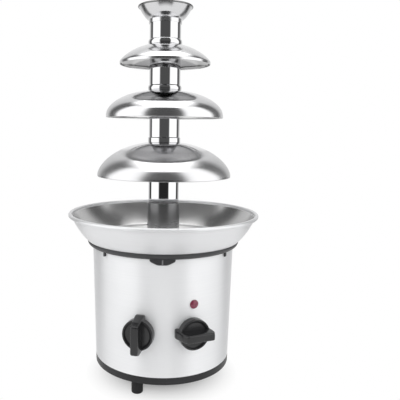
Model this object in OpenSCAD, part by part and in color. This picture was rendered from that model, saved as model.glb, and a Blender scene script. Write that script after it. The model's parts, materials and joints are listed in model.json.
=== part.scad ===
// Chocolate fountain: a drum-shaped base with a heated bowl, and a tower of three
// domes and a crown cup. An auger inside the tower lifts the chocolate to the crown.
// Lengths are in millimetres. The foot pads stand on z = 0 and the front faces -Y.

/* [Drum] */
// Outer diameter of the steel drum at its lower edge
drum_bottom_d = 171.2; // [162:0.2:178]
// Outer diameter of the steel drum at its upper edge
drum_top_d = 177.2; // [170:0.2:184]
// Height of the steel drum
drum_h = 140.9; // [135:0.1:160]
// Thickness of the drum's sheet
drum_t = 0.8; // [0.5:0.1:1.4]

/* [Base] */
// Height of the black rim that shows under the drum
rim_h = 8.6; // [7:0.1:14]
// Wall of the rim
rim_t = 3; // [2:0.1:4]
// Height of the base floor above the rim's lower edge
floor_lift = 4; // [3:0.1:5]
// Thickness of the base floor
floor_t = 2.5; // [2:0.1:4]
// Height of the ring that stands up inside the drum
upstand_h = 12; // [8:0.5:18]
// Wall of that ring
upstand_t = 1.8; // [1.2:0.1:2.4]
// Number of cooling slots in the base floor
vent_count = 18; // [8:1:24]
// Width of a cooling slot
vent_w = 4; // [2:0.5:5]
// Length of a cooling slot
vent_l = 22; // [10:1:26]
// Radius of the ring that the slots are centred on
vent_ring_r = 45; // [42:1:47]

/* [Feet] */
// Height of a foot pad under the base rim
foot_h = 21; // [16:0.5:26]
// Diameter of a foot pad
foot_d = 14; // [12:0.5:16]
// Rounding of a pad's lower edge
foot_edge_r = 2; // [1:0.5:3]
// Radius of the ring that the feet stand on
foot_ring_r = 68.3; // [66:0.1:70]
// Turn of the first foot from the front, to the right
foot_turn = -28; // [-31:1:-25]
// Radius of a foot's threaded stud
foot_stud_r = 3; // [2.5:0.5:3.5]
// Length of the stud above its pad
foot_stud_l = 19; // [17:1:24]
// Depth of the stud in its pad
foot_stud_grip = 9; // [6:1:12]
// Outer radius of a threaded insert in the base
insert_r = 5; // [4.5:0.1:5.5]
// Height of the bosses that hold the inserts, above the base floor
insert_boss_h = 6; // [5:0.5:8]

/* [Collar] */
// How far the collar's lower edge stands out past the drum
collar_overhang = 0.7; // [0.4:0.1:4]
// Outer diameter of the collar at its upper edge
collar_top_d = 191.1; // [186:0.1:198]
// Height of the collar
collar_h = 7.1; // [6:0.1:9]
// Length of the collar's skirt inside the drum
skirt_h = 10; // [6:0.5:14]
// Wall of the skirt
skirt_t = 1.8; // [1.2:0.1:2.4]
// Width of the lug under the collar's front
lug_w = 30; // [20:1:36]
// Depth of the lug below the collar
lug_h = 7; // [4:0.5:10]
// Thickness of the lug and the hooks
lug_t = 2.2; // [1.5:0.1:3]
// Turn of the lug from the front, to the right
lug_turn = -3; // [-10:1:10]
// Width of the rib down the middle of the lug
lug_rib_w = 1.4; // [1:0.1:2]
// How far the rib stands out from the lug
lug_rib_t = 1; // [0.6:0.1:1.5]
// Turn of the two small hooks from the front, each way
hook_turn = 52; // [40:1:70]
// Width of a hook
hook_w = 3; // [2:0.5:5]
// Depth of a hook below the collar
hook_h = 5; // [3:0.5:7]

/* [Bowl] */
// Outer diameter of the bowl over its rolled rim
bowl_rim_d = 238; // [234:1:250]
// Height of the rim's top above the collar
bowl_rise = 33.3; // [28:0.1:40]
// Gap between the collar's upper edge and the bowl's wall
bowl_foot_gap = 0.3; // [0.25:0.05:0.6]
// Height of that place above the collar's top
bowl_foot_lift = 0.6; // [0.5:0.1:1]
// Depth of the bowl's floor below the collar's top
bowl_drop = 1.2; // [1:0.1:1.4]
// Outward swell of the wall between its ends
bowl_swell = 1.8; // [0:0.1:2.5]
// Thickness of the bowl's sheet
bowl_t = 1; // [0.8:0.1:1.4]
// Radius of the rolled rim
roll_r = 2.3; // [2:0.1:3]
// Height of the socket that holds the tower, above the bowl's floor
socket_h = 45.2; // [40:0.1:50]
// Outer diameter of the socket
socket_d = 40.6; // [40.4:0.1:44]
// Height of the inlets at the socket's foot
inlet_h = 10; // [6:0.5:12]
// Width of an inlet
inlet_w = 20; // [14:0.5:22]
// Height of the ledge that carries the tower, above the inlets
ledge_lift = 8; // [5:0.5:10]
// Radius of the pin that keeps the tower from turning
locator_r = 0.8; // [0.6:0.1:1.2]

/* [Tower] */
// Outer diameter of the tower's tubes
tube_d = 38.1; // [36:0.1:38.6]
// Wall of the tubes
tube_t = 0.8; // [0.6:0.1:1]
// Length of the widened mouth at a tube's lower end
mouth_h = 6.2; // [5:0.1:8]
// Wall of a widened mouth
mouth_t = 0.8; // [0.6:0.1:1.2]
// Extra swell of the two upper mouths
mouth_swell = 0.5; // [0.2:0.1:0.8]
// Height of the largest dome's edge above the bowl's rim
large_lift = 45.5; // [40:0.1:55]
// Height of the middle dome's edge above the largest dome's edge
medium_lift = 72.1; // [66:0.1:80]
// Height of the smallest dome's edge above the middle dome's edge
small_lift = 64; // [58:0.1:72]
// Height of the crown's rim above the smallest dome's edge
crown_lift = 68.5; // [62:0.1:76]

/* [Domes] */
// Thickness of the domes' sheet
dome_t = 0.9; // [0.6:0.1:1.2]
// Diameter of the largest dome
large_d = 166; // [150:0.5:180]
// Height of the largest dome's crown
large_h = 41; // [34:0.5:44]
// Diameter of the middle dome
medium_d = 144.4; // [130:0.2:156]
// Height of the middle dome's crown
medium_h = 32.3; // [28:0.1:36]
// Diameter of the smallest dome
small_d = 111; // [100:0.5:124]
// Height of the smallest dome's crown
small_h = 23; // [19:0.5:26]

/* [Crown cup] */
// Diameter of the crown cup over its lip
crown_d = 66.8; // [58:0.2:76]
// Height of the cup's flare
flare_h = 15.2; // [12:0.2:19]
// Curve of the flare: 1 is a straight cone
flare_curve = 1.55; // [1.2:0.05:2]
// Length of the sleeve that holds the cup on its tube
sleeve_h = 4.2; // [3:0.1:8]
// Thickness of the cup's sheet
crown_t = 0.9; // [0.7:0.1:1.2]
// Radius of the cup's rolled lip
lip_r = 1; // [0.9:0.1:1.4]

/* [Auger] */
// Diameter of the auger's core
core_d = 20.4; // [19:0.1:21]
// Wall of the core
core_t = 1; // [0.8:0.1:1.4]
// Height of the auger's top above the crown's rim
auger_rise = 15; // [8:0.5:20]
// Diameter over the screw flight
flight_d = 35; // [32:0.1:35.2]
// Pitch of the screw flight
flight_pitch = 36; // [30:1:44]
// Thickness of the flight, along the axis
flight_t = 2; // [1.5:0.1:2.6]
// Width of the hexagon that drives the auger, across its flats
dog_flats = 12; // [11:0.1:12.6]
// Height of that hexagon
dog_h = 11; // [9:0.5:13]
// Length of the hub's plug inside the core
plug_h = 12; // [8:0.5:16]

/* [Gears] */
// Tooth size of the first gear pair
first_module = 0.8; // [0.75:0.01:0.84]
// Tooth size of the second gear pair
second_module = 1; // [0.95:0.01:1.04]
// Teeth of the two large wheels
wheel_teeth = 60; // [58:2:62]
// Teeth of the two pinions
pinion_teeth = 12; // [12:1:13]
// Pressure angle of the teeth
pressure_angle = 25; // [23:0.5:27]
// Play between meshing teeth
tooth_play = 0.2; // [0.14:0.01:0.3]
// Face width of the first pair
first_face = 6; // [4:0.5:7]
// Face width of the second pair
second_face = 8; // [6:0.5:9]
// Direction of the idler from the output shaft
idler_turn = 36.87; // [30:0.01:44]
// Direction of the motor from the idler
motor_turn = 180; // [172:1:188]
// Radius of the output shaft
shaft_r = 4; // [3.5:0.1:4.5]
// Radius of the idler's pin
idler_pin_r = 2.5; // [2:0.1:3]

/* [Gearbox] */
// Wall of the gearbox
box_wall = 2.5; // [2:0.1:3]
// Thickness of the gearbox floor and cover
box_floor = 3; // [2.5:0.1:4]
// Room between the wheels and the wall
box_room = 2; // [1.5:0.1:3]
// Space between the bowl's floor and the gearbox cover
box_hang = 15.4; // [14.5:0.1:20]
// Radius of the ring that the three hanging studs stand on
hang_ring_r = 42; // [41.5:0.1:42.4]
// Radius of a hanging stud
hang_stud_r = 2; // [1.5:0.1:2.2]
// Radius of the lugs that the studs pass through
hang_lug_r = 5; // [4.5:0.1:5.5]
// Wall of the bearing bushes
bush_t = 2; // [1.5:0.1:2.4]

/* [Motor] */
// Width of the laminated stator
stator_w = 48; // [46:1:50]
// Length of the laminated stator
stator_l = 76; // [74:1:77]
// Height of the lamination stack
stack_h = 20; // [16:1:24]
// Gap between the gearbox and the stack
stack_gap = 14; // [12:0.5:18]
// Radius of the rotor
rotor_r = 12.9; // [12:0.1:14]
// Air gap between rotor and stator
air_gap = 0.4; // [0.3:0.05:0.6]
// Radius of the rotor's shaft
rotor_shaft_r = 3; // [2.5:0.1:3.2]
// Width of the leg that carries the coil
leg_w = 14; // [12:0.5:15]
// Thickness of the coil round its leg
coil_t = 6.5; // [5:0.1:7]
// Wall of the coil's bobbin
bobbin_t = 1.2; // [1:0.1:1.5]
// Length of the coil
coil_l = 22; // [18:1:24]
// Radius of the cooling fan
fan_r = 21; // [18:0.5:22]
// Number of fan blades
fan_blades = 6; // [5:1:9]
// Height of the fan's blades
fan_h = 6; // [5:0.5:7]
// Space for the fan under the stack
fan_space = 14; // [13:0.5:17]
// Radius of a motor screw
motor_screw_r = 1.6; // [1.5:0.1:2]

/* [Heater] */
// Radius of the heating ring
heater_ring_r = 52; // [51:0.5:54]
// Radius of the heater's tube
heater_r = 4; // [3:0.1:4.4]
// Sweep of the heating ring
heater_sweep = 320; // [280:5:330]
// Gap between the heat-spreading plate and the tie rods' bosses
spreader_gap = 5; // [3:0.5:8]
// Thickness of the heat-spreading plate
spreader_t = 2; // [1.5:0.1:3]

/* [Tie rods] */
// Distance of the tie rods from the drum's face
tie_inset = 11.6; // [10.6:0.2:13]
// Radius of a tie rod
tie_r = 2; // [1.5:0.1:2.5]
// Radius of a threaded boss under the bowl
tie_boss_r = 5; // [4:0.1:5.5]
// Height of a threaded boss
tie_boss_h = 9; // [7:0.5:12]

/* [Controls] */
// Height of the knobs' centres
knob_z = 86; // [80:0.5:92]
// Turn of each knob from the front
knob_turn = 18.5; // [16:0.5:22]
// Turn of the motor knob, counted anticlockwise from upright
motor_knob_rest = 0; // [0:90:270]
// Turn of the heat knob, counted anticlockwise from upright
heat_knob_rest = 90; // [0:90:270]
// Diameter of a knob's disc
knob_d = 36; // [32:0.5:40]
// Distance of the disc's back from the drum
disc_lift = 7; // [6:0.5:9]
// Thickness of the disc
disc_t = 9; // [7:0.5:11]
// Depth of the hollows beside the grip
hollow_depth = 3.5; // [2:0.1:5]
// Rim left round the hollows
hollow_rim = 2; // [1.5:0.1:3]
// Distance of the grip's ridge from the drum
grip_lift = 28; // [24:0.5:32]
// Width of the grip at its ridge
ridge_w = 7.6; // [6:0.1:9]
// Width of the grip at its root
root_w = 13; // [11:0.1:15]
// Reach of the pointer end from the knob's axis
pointer_reach = 20; // [18.5:0.5:22]
// Reach of the grip's other end
heel_reach = 21; // [19:0.5:23]
// Radius of a knob's spindle
spindle_r = 3; // [2.5:0.1:3.2]
// Cut of the flat on a spindle
spindle_flat = 0.8; // [0.5:0.1:1.2]
// Width of a switch body
switch_w = 28; // [24:1:29]
// Height of a switch body
switch_h = 30; // [24:1:34]
// Depth of a switch body
switch_d = 20; // [15:1:24]
// Height of the lamp's centre
lamp_z = 116.6; // [112:0.1:122]
// Turn of the lamp from the front
lamp_turn = 21.5; // [18:0.5:26]
// Diameter of the lamp's lens
lamp_d = 10.4; // [8:0.2:12]
// Height of the cord inlet's centre
inlet_z = 50; // [46:1:60]
// Radius of the bore in the cord inlet
inlet_bore_r = 3.7; // [3:0.1:4.5]

/* [Clearances] */
// Radial running clearance of a shaft in its bush
running = 0.05; // [0.02:0.01:0.1]
// Gap between flat faces that rest on each other
seat = 0.1; // [0.05:0.01:0.15]
// Slip clearance of a tube in a mouth or socket
slip = 0.3; // [0.25:0.01:0.35]
// Clearance of a screw or stud in its hole
screw_play = 0.15; // [0.1:0.01:0.25]

/* [Hidden] */
$fn = 96;
curve_steps = 14;
through = 1;

// Heights of the base and the bowl
rim_z = foot_h;
floor_z = rim_z + floor_lift;
floor_top = floor_z + floor_t;
drum_z = rim_z + rim_h;
collar_z = drum_z + drum_h;
collar_top = collar_z + collar_h;
bowl_under = collar_top - bowl_drop;
bowl_floor = bowl_under + bowl_t;
bowl_rim_z = collar_top + bowl_rise;
floor_support_z = bowl_under - seat;

// Radii of the drum
drum_bottom_r = drum_bottom_d / 2;
drum_top_r = drum_top_d / 2;
function drum_r(z) = drum_bottom_r + (drum_top_r - drum_bottom_r) * (z - drum_z) / drum_h;
drum_reach = max(drum_bottom_r, drum_top_r) + through;
upstand_r = drum_bottom_r - drum_t - seat;
skirt_r = drum_r(collar_z - skirt_h) - drum_t - seat;
collar_bottom_r = drum_top_r + collar_overhang;
collar_top_r = collar_top_d / 2;
bowl_foot_r = collar_top_r + bowl_foot_gap;

// Tower radii and the heights of its joints
tube_r = tube_d / 2;
tube_bore_r = tube_r - tube_t;
socket_r = socket_d / 2;
socket_bore_r = tube_r + slip;
socket_ledge_t = 2;
ledge_r = tube_bore_r - slip;
ledge_z = bowl_floor + inlet_h + ledge_lift;
mouth_bore_r = tube_r + slip;
mouth_r = mouth_bore_r + mouth_t;
neck_r = tube_r + slip;
spigot_gap = 1.4;
spigot_h = mouth_h - spigot_gap;

// A dome is [edge radius, upright lip, crown height, power along the radius, power along the height]
LARGE = [large_d / 2, 2, large_h, 2.2, 1.6];
MEDIUM = [medium_d / 2, 1.9, medium_h, 2, 2];
SMALL = [small_d / 2, 2.5, small_h, 2, 1.3];
function crown_rise(dome, r) = dome[1] + dome[2] * pow(1 - pow(r / dome[0], dome[3]), 1 / dome[4]);
large_z = bowl_rim_z + large_lift;
medium_z = large_z + medium_lift;
small_z = medium_z + small_lift;
crown_z = small_z + crown_lift;
middle_tube_z = large_z + crown_rise(LARGE, neck_r) + seat;
upper_tube_z = medium_z + crown_rise(MEDIUM, neck_r) + seat;
crown_tube_z = small_z + crown_rise(SMALL, neck_r) + seat;
flare_z = crown_z - lip_r - flare_h;
sleeve_z = flare_z - sleeve_h;
lower_tube_z = ledge_z + seat;
crown_tube_top = flare_z;

// Auger and its drive
core_r = core_d / 2;
auger_top = crown_z + auger_rise;
dog_gap = 2;
dog_roof = 3;
hub_gap = 1;
hub_roof = 3;
flight_start = 1.5;
flight_stop = 1;
dog_z = bowl_floor + dog_gap;
dog_top = dog_z + dog_h;
hub_z = dog_z + hub_gap;
hub_top = dog_top + hub_roof;
flight_z = hub_z + flight_start;
flight_top = crown_tube_top - flight_stop;
flight_gap = 0.15;
flight_steps_per_turn = 24;

// Gear train
function gear_pitch_r(teeth, module_size) = teeth * module_size / 2;
first_centres = gear_pitch_r(wheel_teeth + pinion_teeth, first_module);
second_centres = gear_pitch_r(wheel_teeth + pinion_teeth, second_module);
IDLER = second_centres * [cos(idler_turn), sin(idler_turn)];
MOTOR = IDLER + first_centres * [cos(motor_turn), sin(motor_turn)];
pinion_half_pitch = 180 / pinion_teeth;
box_top = bowl_under - box_hang;
cover_z = box_top - box_floor;
gear_room = 2.5;
layer_gap = 1;
end_play = 0.5;
second_z = cover_z - gear_room - second_face;
first_z = second_z - gear_room - layer_gap - first_face;
case_floor_top = first_z - gear_room - end_play;
case_z = case_floor_top - box_floor;
output_room_r = gear_pitch_r(wheel_teeth + 2, second_module) + box_room;
idler_room_r = gear_pitch_r(wheel_teeth + 2, first_module) + box_room;
bush_r = shaft_r + running + bush_t;
boss_wall = 1.6;
rotor_bush_r = rotor_shaft_r + running + bush_t;
cover_boss_h = 7;
motor_boss_h = 4;
bush_gap = 2;
pin_floor = 1;
pin_entry = 2;
hang_turns = [90, 210, 330];
box_screw_r = 1.5;
box_screw_out = 3.5;
box_screw_grip = 8;
box_screw_room = 2;
screw_boss_r = 3.4;

// Motor
stack_top = case_z - stack_gap;
stack_z = stack_top - stack_h;
bracket_t = 2.5;
bracket_z = stack_z - fan_space - bracket_t;
stator_front = MOTOR.y - stator_w / 2;
leg_y = stator_front + stator_l - leg_w / 2;
window_gap = 1;
coil_room = coil_t + bobbin_t + 2 * window_gap;
bobbin_flange_t = 1;
coil_margin = 1;
bracket_boss_h = 3;
shaft_tail = 5;
rotor_stand = 1;
screw_inset = 4.5;
motor_screw_pitch = stator_w / 2 - screw_inset;
screw_head_h = 2.4;
fan_lift = 4;
fan_z = bracket_z + bracket_t + fan_lift;
fan_disc_t = 1.5;

// Heater and hanging studs
spreader_z = bowl_under - seat - spreader_t;
heater_z = spreader_z - seat - heater_r;
nut_h = 3.2;
hang_nut_flats = 7;
stud_end = 2;
seal_r = 9;

// Tie rods
tie_turns = [30, 150, 270];
tie_ring_r = min(drum_bottom_r, drum_top_r) - tie_inset;
tie_nut_flats = 7;
tie_end = 4;
tie_boss_roof = 2;
tie_rod_gap = 0.4;

// Controls
knob_face_r = drum_r(knob_z);
lamp_face_r = drum_r(lamp_z);
inlet_face_r = drum_r(inlet_z);
knob_gap = 1;
knob_hub_r = 11;
neck_thread_r = 5;
neck_out = 3;
control_nut_flats = 14;
control_nut_h = 2.4;
control_nut_lift = 0.3;
switch_set_back = 4.5;
spindle_grip = 4;
spindle_depth = 12;
spindle_out = disc_lift + disc_t + spindle_grip;
spindle_in = switch_set_back + spindle_depth;
BLADE = [6.3, 0.8, 8];
blade_sink = 0.5;
lamp_brim = 0.8;
lamp_rise = 1.6;
lamp_stem_r = lamp_d / 2 - lamp_brim;
lamp_stem_l = 8;
lamp_body_l = 22;
TERMINALS = [44, 18, 15];
terminal_inset = 27.6;
inlet_wall = 2.6;
inlet_brim = 2.6;
inlet_stem_r = inlet_bore_r + inlet_wall;

// Shared shapes

// Points of an arc, with angles in degrees
function arc(centre, r, from, to, steps = curve_steps) =
    [for (k = [0 : steps]) let (a = from + (to - from) * k / steps) centre + r * [cos(a), sin(a)]];

// Left-hand normal of a path at one of its points
function left_normal(path, i) =
    let (
        before = path[max(i - 1, 0)],
        after = path[min(i + 1, len(path) - 1)],
        along = (after - before) / norm(after - before)
    ) [-along.y, along.x];

// Outline of a sheet of thickness t whose one face follows the path
function sheet(path, t) =
    concat(path, [for (i = [len(path) - 1 : -1 : 0]) path[i] + t * left_normal(path, i)]);

// A turned solid, from an outline of [radius, height] points
module turned(outline) {
    rotate_extrude() polygon(outline);
}

// A plain tube
module pipe(r_out, r_in, h) {
    difference() {
        cylinder(r = r_out, h = h);
        translate([0, 0, -through]) cylinder(r = r_in, h = h + 2 * through);
    }
}

// A hexagon prism, by its width across flats
module hexagon(flats, h) {
    cylinder(r = flats / 2 / cos(30), h = h, $fn = 6);
}

// A hexagon nut with a round bore
module nut(flats, bore_r, h) {
    difference() {
        hexagon(flats, h);
        translate([0, 0, -through]) cylinder(r = bore_r, h = h + 2 * through);
    }
}

// Places things round the axis: turn is counted from +X, anticlockwise seen from above
module around(turn, r, z = 0) {
    rotate([0, 0, turn]) translate([r, 0, z]) children();
}

// Places things on the drum's face: x runs across, y up and z out; turn is from the front
module facing(turn, z, out) {
    rotate([90, 0, turn]) translate([0, z, out]) children();
}

// Base

module foot_places() {
    for (k = [0 : 2]) around(foot_turn - 90 + 120 * k, foot_ring_r) children();
}

module tie_places() {
    for (turn = tie_turns) around(turn, tie_ring_r) children();
}

module base_pan() {
    boss_r = insert_r + boss_wall;
    pan_h = floor_lift + floor_t + insert_boss_h;
    color("#26272a") difference() {
        union() {
            translate([0, 0, rim_z]) pipe(drum_bottom_r, drum_bottom_r - rim_t, rim_h - seat);
            translate([0, 0, floor_z]) cylinder(r = drum_bottom_r - rim_t / 2, h = floor_t);
            translate([0, 0, floor_z]) pipe(upstand_r, upstand_r - upstand_t, drum_z - floor_z + upstand_h);
            foot_places() translate([0, 0, rim_z]) cylinder(r = boss_r, h = pan_h);
        }
        foot_places() translate([0, 0, rim_z - through]) cylinder(r = insert_r, h = pan_h + 2 * through);
        tie_places() translate([0, 0, floor_z - through])
            cylinder(r = tie_r + screw_play, h = floor_t + 2 * through);
        for (k = [0 : vent_count - 1])
            around(360 * k / vent_count, vent_ring_r, floor_z - through)
                translate([-vent_l / 2, -vent_w / 2, 0]) cube([vent_l, vent_w, floor_t + 2 * through]);
    }
}

module foot_inserts() {
    color("#b59a55") foot_places() translate([0, 0, rim_z + seat])
        pipe(insert_r - running, foot_stud_r + running, floor_lift + floor_t + insert_boss_h - seat);
}

// One rubber pad moulded on its threaded stud
module foot(k) {
    pad_r = foot_d / 2;
    pad = concat(
        [[0, 0]],
        arc([pad_r - foot_edge_r, foot_edge_r], foot_edge_r, -90, 0),
        [[pad_r, foot_h - seat], [0, foot_h - seat]]
    );
    around(foot_turn - 90 + 120 * k, foot_ring_r) union() {
        color("#1d1d1f") turned(pad);
        color("#b8babd") translate([0, 0, foot_h - foot_stud_grip])
            cylinder(r = foot_stud_r, h = foot_stud_grip + foot_stud_l);
    }
}

module foot_left() { foot(0); }
module foot_right() { foot(1); }
module foot_rear() { foot(2); }

module housing_drum() {
    color("#d6d8da") difference() {
        translate([0, 0, drum_z]) cylinder(r1 = drum_bottom_r, r2 = drum_top_r, h = drum_h - seat);
        translate([0, 0, drum_z - through])
            cylinder(
                r1 = drum_r(drum_z - through) - drum_t,
                r2 = drum_r(collar_z + through) - drum_t,
                h = drum_h + 2 * through
            );
        for (turn = [-knob_turn, knob_turn])
            facing(turn, knob_z, 0) cylinder(r = neck_thread_r + screw_play, h = drum_reach);
        facing(lamp_turn, lamp_z, 0) cylinder(r = lamp_stem_r + screw_play, h = drum_reach);
        facing(180, inlet_z, 0) cylinder(r = inlet_stem_r + screw_play, h = drum_reach);
    }
}

// A patch of ring that hangs below the collar in front of the drum
module collar_patch(turn, w, h, t) {
    inner_r = drum_top_r + 2 * seat;
    rotate([0, 0, turn]) intersection() {
        translate([0, 0, collar_z - h]) pipe(inner_r + t, inner_r, h + collar_h / 2);
        translate([-w / 2, -drum_top_r - 4 * t, collar_z - h - through])
            cube([w, drum_top_r, h + collar_h]);
    }
}

// The lug is a segment of a circle, with a rib down its middle
module lug() {
    edge_r = (lug_w * lug_w / 4 + lug_h * lug_h) / (2 * lug_h);
    intersection() {
        collar_patch(lug_turn, lug_w, lug_h, lug_t);
        facing(lug_turn, collar_z - lug_h + edge_r, 0) cylinder(r = edge_r, h = 2 * drum_top_r);
    }
    collar_patch(lug_turn, lug_rib_w, lug_h - lug_rib_t, lug_t + lug_rib_t);
}

// The collar's outer face swells out from the drum as a quarter of an ellipse
module collar_ring() {
    seat_slope = 2.6;
    swell = [
        for (angle = [0 : 15 : 90])
            [
                collar_bottom_r + (collar_top_r - collar_bottom_r) * sin(angle),
                collar_top - collar_h * cos(angle)
            ]
    ];
    outline = concat(
        [
            [skirt_r - skirt_t, collar_z - skirt_h],
            [skirt_r, collar_z - skirt_h],
            [skirt_r, collar_z]
        ],
        swell,
        [
            [collar_top_r - seat_slope, floor_support_z - seat],
            [skirt_r - skirt_t, floor_support_z]
        ]
    );
    color("#4a4b4e") union() {
        turned(outline);
        lug();
        for (side = [-1, 1]) collar_patch(side * hook_turn, hook_w, hook_h, lug_t);
    }
}

// Bowl

// The bowl's outer face, from the shaft hole out to the rolled rim
function bowl_path() =
    let (
        foot = [bowl_foot_r, collar_top + bowl_foot_lift],
        top = [bowl_rim_d / 2 - 1.7 * roll_r, bowl_rim_z - 1.5 * roll_r],
        run = top - foot,
        out = [run.y, -run.x] / norm(run),
        start = atan2(run.y, run.x) - atan(4 * bowl_swell / norm(run)),
        fillet = (foot.y - bowl_under) / (1 - cos(start)),
        flat_end = foot.x - fillet * sin(start)
    )
    concat(
        [[seal_r + screw_play, bowl_under]],
        arc([flat_end, bowl_under + fillet], fillet, -90, start - 90, 6),
        [
            for (k = [1 : curve_steps])
                let (t = k / curve_steps) foot + t * run + 4 * t * (1 - t) * bowl_swell * out
        ]
    );

module bowl() {
    color("#c4c6c8") union() {
        turned(sheet(bowl_path(), bowl_t));
        translate([0, 0, bowl_rim_z - roll_r]) rotate_extrude()
            translate([bowl_rim_d / 2 - roll_r, 0]) circle(r = roll_r);
    }
}

// The socket stands on the bowl's floor: inlets let chocolate in, and a ledge carries the tower
module tower_socket() {
    pin_turn = 190;
    pin_l = 2.4;
    pin_sink = 0.4;
    color("#8f9193") difference() {
        union() {
            translate([0, 0, bowl_floor + seat]) pipe(socket_r, socket_bore_r, socket_h - seat);
            translate([0, 0, ledge_z - socket_ledge_t])
                pipe(socket_bore_r + socket_ledge_t / 4, ledge_r, socket_ledge_t);
            around(pin_turn, socket_r - pin_sink, ledge_z - socket_ledge_t / 2)
                rotate([0, 90, 0]) cylinder(r = locator_r, h = pin_l);
        }
        for (k = [0 : 3]) rotate([0, 0, 90 * k + 45]) translate([-inlet_w / 2, 0, bowl_floor - through])
            cube([inlet_w, socket_r + through, inlet_h + through]);
    }
}

module shaft_seal() {
    lip = 1.4;
    outline = [
        [shaft_r + running, bowl_under - lip],
        [seal_r, bowl_under - lip],
        [seal_r, bowl_floor],
        [seal_r + lip, bowl_floor + seat],
        [seal_r + lip / 2, bowl_floor + lip],
        [shaft_r + running, bowl_floor + lip]
    ];
    color("#b34a35") turned(outline);
}

// Heater under the bowl

module hang_places() {
    for (turn = hang_turns) around(turn, hang_ring_r) children();
}

module heat_spreader() {
    spreader_r = tie_ring_r - tie_boss_r - spreader_gap;
    seal_room = 2;
    color("#b9bcc0") difference() {
        translate([0, 0, spreader_z]) cylinder(r = spreader_r, h = spreader_t);
        translate([0, 0, spreader_z - through])
            cylinder(r = seal_r + seal_room, h = spreader_t + 2 * through);
        hang_places() translate([0, 0, spreader_z - through])
            cylinder(r = hang_stud_r + screw_play, h = spreader_t + 2 * through);
    }
}

// A bent heating tube with a straight terminal pin at each end
module heater_ring() {
    gap = (360 - heater_sweep) / 2;
    pin_l = 12;
    color("#6d6f72") union() {
        translate([0, 0, heater_z]) rotate([0, 0, gap - 90]) rotate_extrude(angle = heater_sweep)
            translate([heater_ring_r, 0]) circle(r = heater_r);
        for (side = [-1, 1]) rotate([0, 0, -90 + side * gap])
            translate([heater_ring_r, side, heater_z - pin_l]) cylinder(r = heater_r / 3, h = pin_l);
    }
}

module thermal_fuse() {
    clip = [18, 9, 1];
    fuse_turn = 225;
    barrel_r = 2.6;
    barrel_sink = 0.4;
    color("#e3dfd2") around(fuse_turn, heater_ring_r / 2) union() {
        translate([-clip.x / 2, -clip.y / 2, spreader_z - seat - clip.z]) cube(clip);
        translate([-clip.x / 2, 0, spreader_z - seat - clip.z - barrel_r + barrel_sink])
            rotate([0, 90, 0]) cylinder(r = barrel_r, h = clip.x);
    }
}

module hanging_studs() {
    stud_z = cover_z - nut_h - stud_end;
    color("#b8babd") hang_places() translate([0, 0, stud_z])
        cylinder(r = hang_stud_r, h = bowl_under - stud_z);
}

module stud_spacers() {
    spacer_r = 0.8 * hang_lug_r;
    color("#9fa3a8") hang_places() translate([0, 0, box_top + seat])
        pipe(spacer_r, hang_stud_r + screw_play, spreader_z - box_top - 2 * seat);
}

module stud_nuts() {
    color("#b8babd") hang_places() translate([0, 0, cover_z - nut_h - seat])
        nut(hang_nut_flats, hang_stud_r + running, nut_h);
}

// Tie rods hold the bowl, the collar, the drum and the base together

module tie_bosses() {
    color("#b8babd") tie_places() translate([0, 0, floor_support_z - tie_boss_h]) difference() {
        cylinder(r = tie_boss_r, h = tie_boss_h);
        translate([0, 0, -through]) cylinder(r = tie_r + running, h = tie_boss_h - tie_boss_roof + through);
    }
}

module tie_rods() {
    rod_z = floor_z - tie_end;
    rod_top = floor_support_z - tie_boss_roof - tie_rod_gap;
    color("#a9acb0") tie_places() translate([0, 0, rod_z]) cylinder(r = tie_r, h = rod_top - rod_z);
}

module tie_nuts() {
    color("#b8babd") tie_places() translate([0, 0, floor_z - seat - nut_h])
        nut(tie_nut_flats, tie_r + running, nut_h);
}

// Gears

// Involute of a pressure angle, in degrees
function involute(a) = tan(a) * 180 / PI - a;

// Outline of a spur gear with one tooth centred on +X
function gear_outline(teeth, module_size) =
    let (
        pitch_r = gear_pitch_r(teeth, module_size),
        base_r = pitch_r * cos(pressure_angle),
        root_r = pitch_r - 1.25 * module_size,
        tip_r = pitch_r + module_size,
        start_r = max(base_r, root_r) + 0.001,
        half_tooth = 90 / teeth - tooth_play / 4 / pitch_r * 180 / PI,
        steps = 3,
        radii = [for (k = [0 : steps]) start_r + (tip_r - start_r) * k / steps],
        half = [for (r = radii) half_tooth + involute(pressure_angle) - involute(acos(base_r / r))],
        rising = concat([[root_r, half[0]]], [for (k = [0 : steps]) [radii[k], half[k]]])
    )
    [
        for (tooth = [0 : teeth - 1]) let (mid = 360 * tooth / teeth)
            for (side = [-1, 1]) for (k = [0 : steps + 1])
                let (p = rising[side < 0 ? k : steps + 1 - k], a = mid + side * p[1])
                    p[0] * [cos(a), sin(a)]
    ];

module gear(teeth, module_size, face) {
    linear_extrude(height = face) polygon(gear_outline(teeth, module_size));
}

module output_gear() {
    hub_r = 2 * shaft_r;
    hub_stand = 1;
    hub_h = second_face + 2 * hub_stand;
    color("#e8e4d8") difference() {
        union() {
            translate([0, 0, second_z]) rotate([0, 0, idler_turn])
                gear(wheel_teeth, second_module, second_face);
            translate([0, 0, second_z - hub_stand]) cylinder(r = hub_r, h = hub_h);
        }
        translate([0, 0, second_z - hub_stand - through])
            cylinder(r = shaft_r + running / 2, h = hub_h + 2 * through);
    }
}

module output_shaft() {
    shaft_z = case_floor_top + end_play;
    color("#a9acb0") translate([0, 0, shaft_z]) cylinder(r = shaft_r, h = dog_top - dog_roof - shaft_z);
}

module drive_dog() {
    color("#8b8e92") translate([0, 0, dog_z]) difference() {
        hexagon(dog_flats, dog_h);
        translate([0, 0, -through])
            cylinder(r = shaft_r + running / 2, h = dog_h - dog_roof + seat + through);
    }
}

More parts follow.
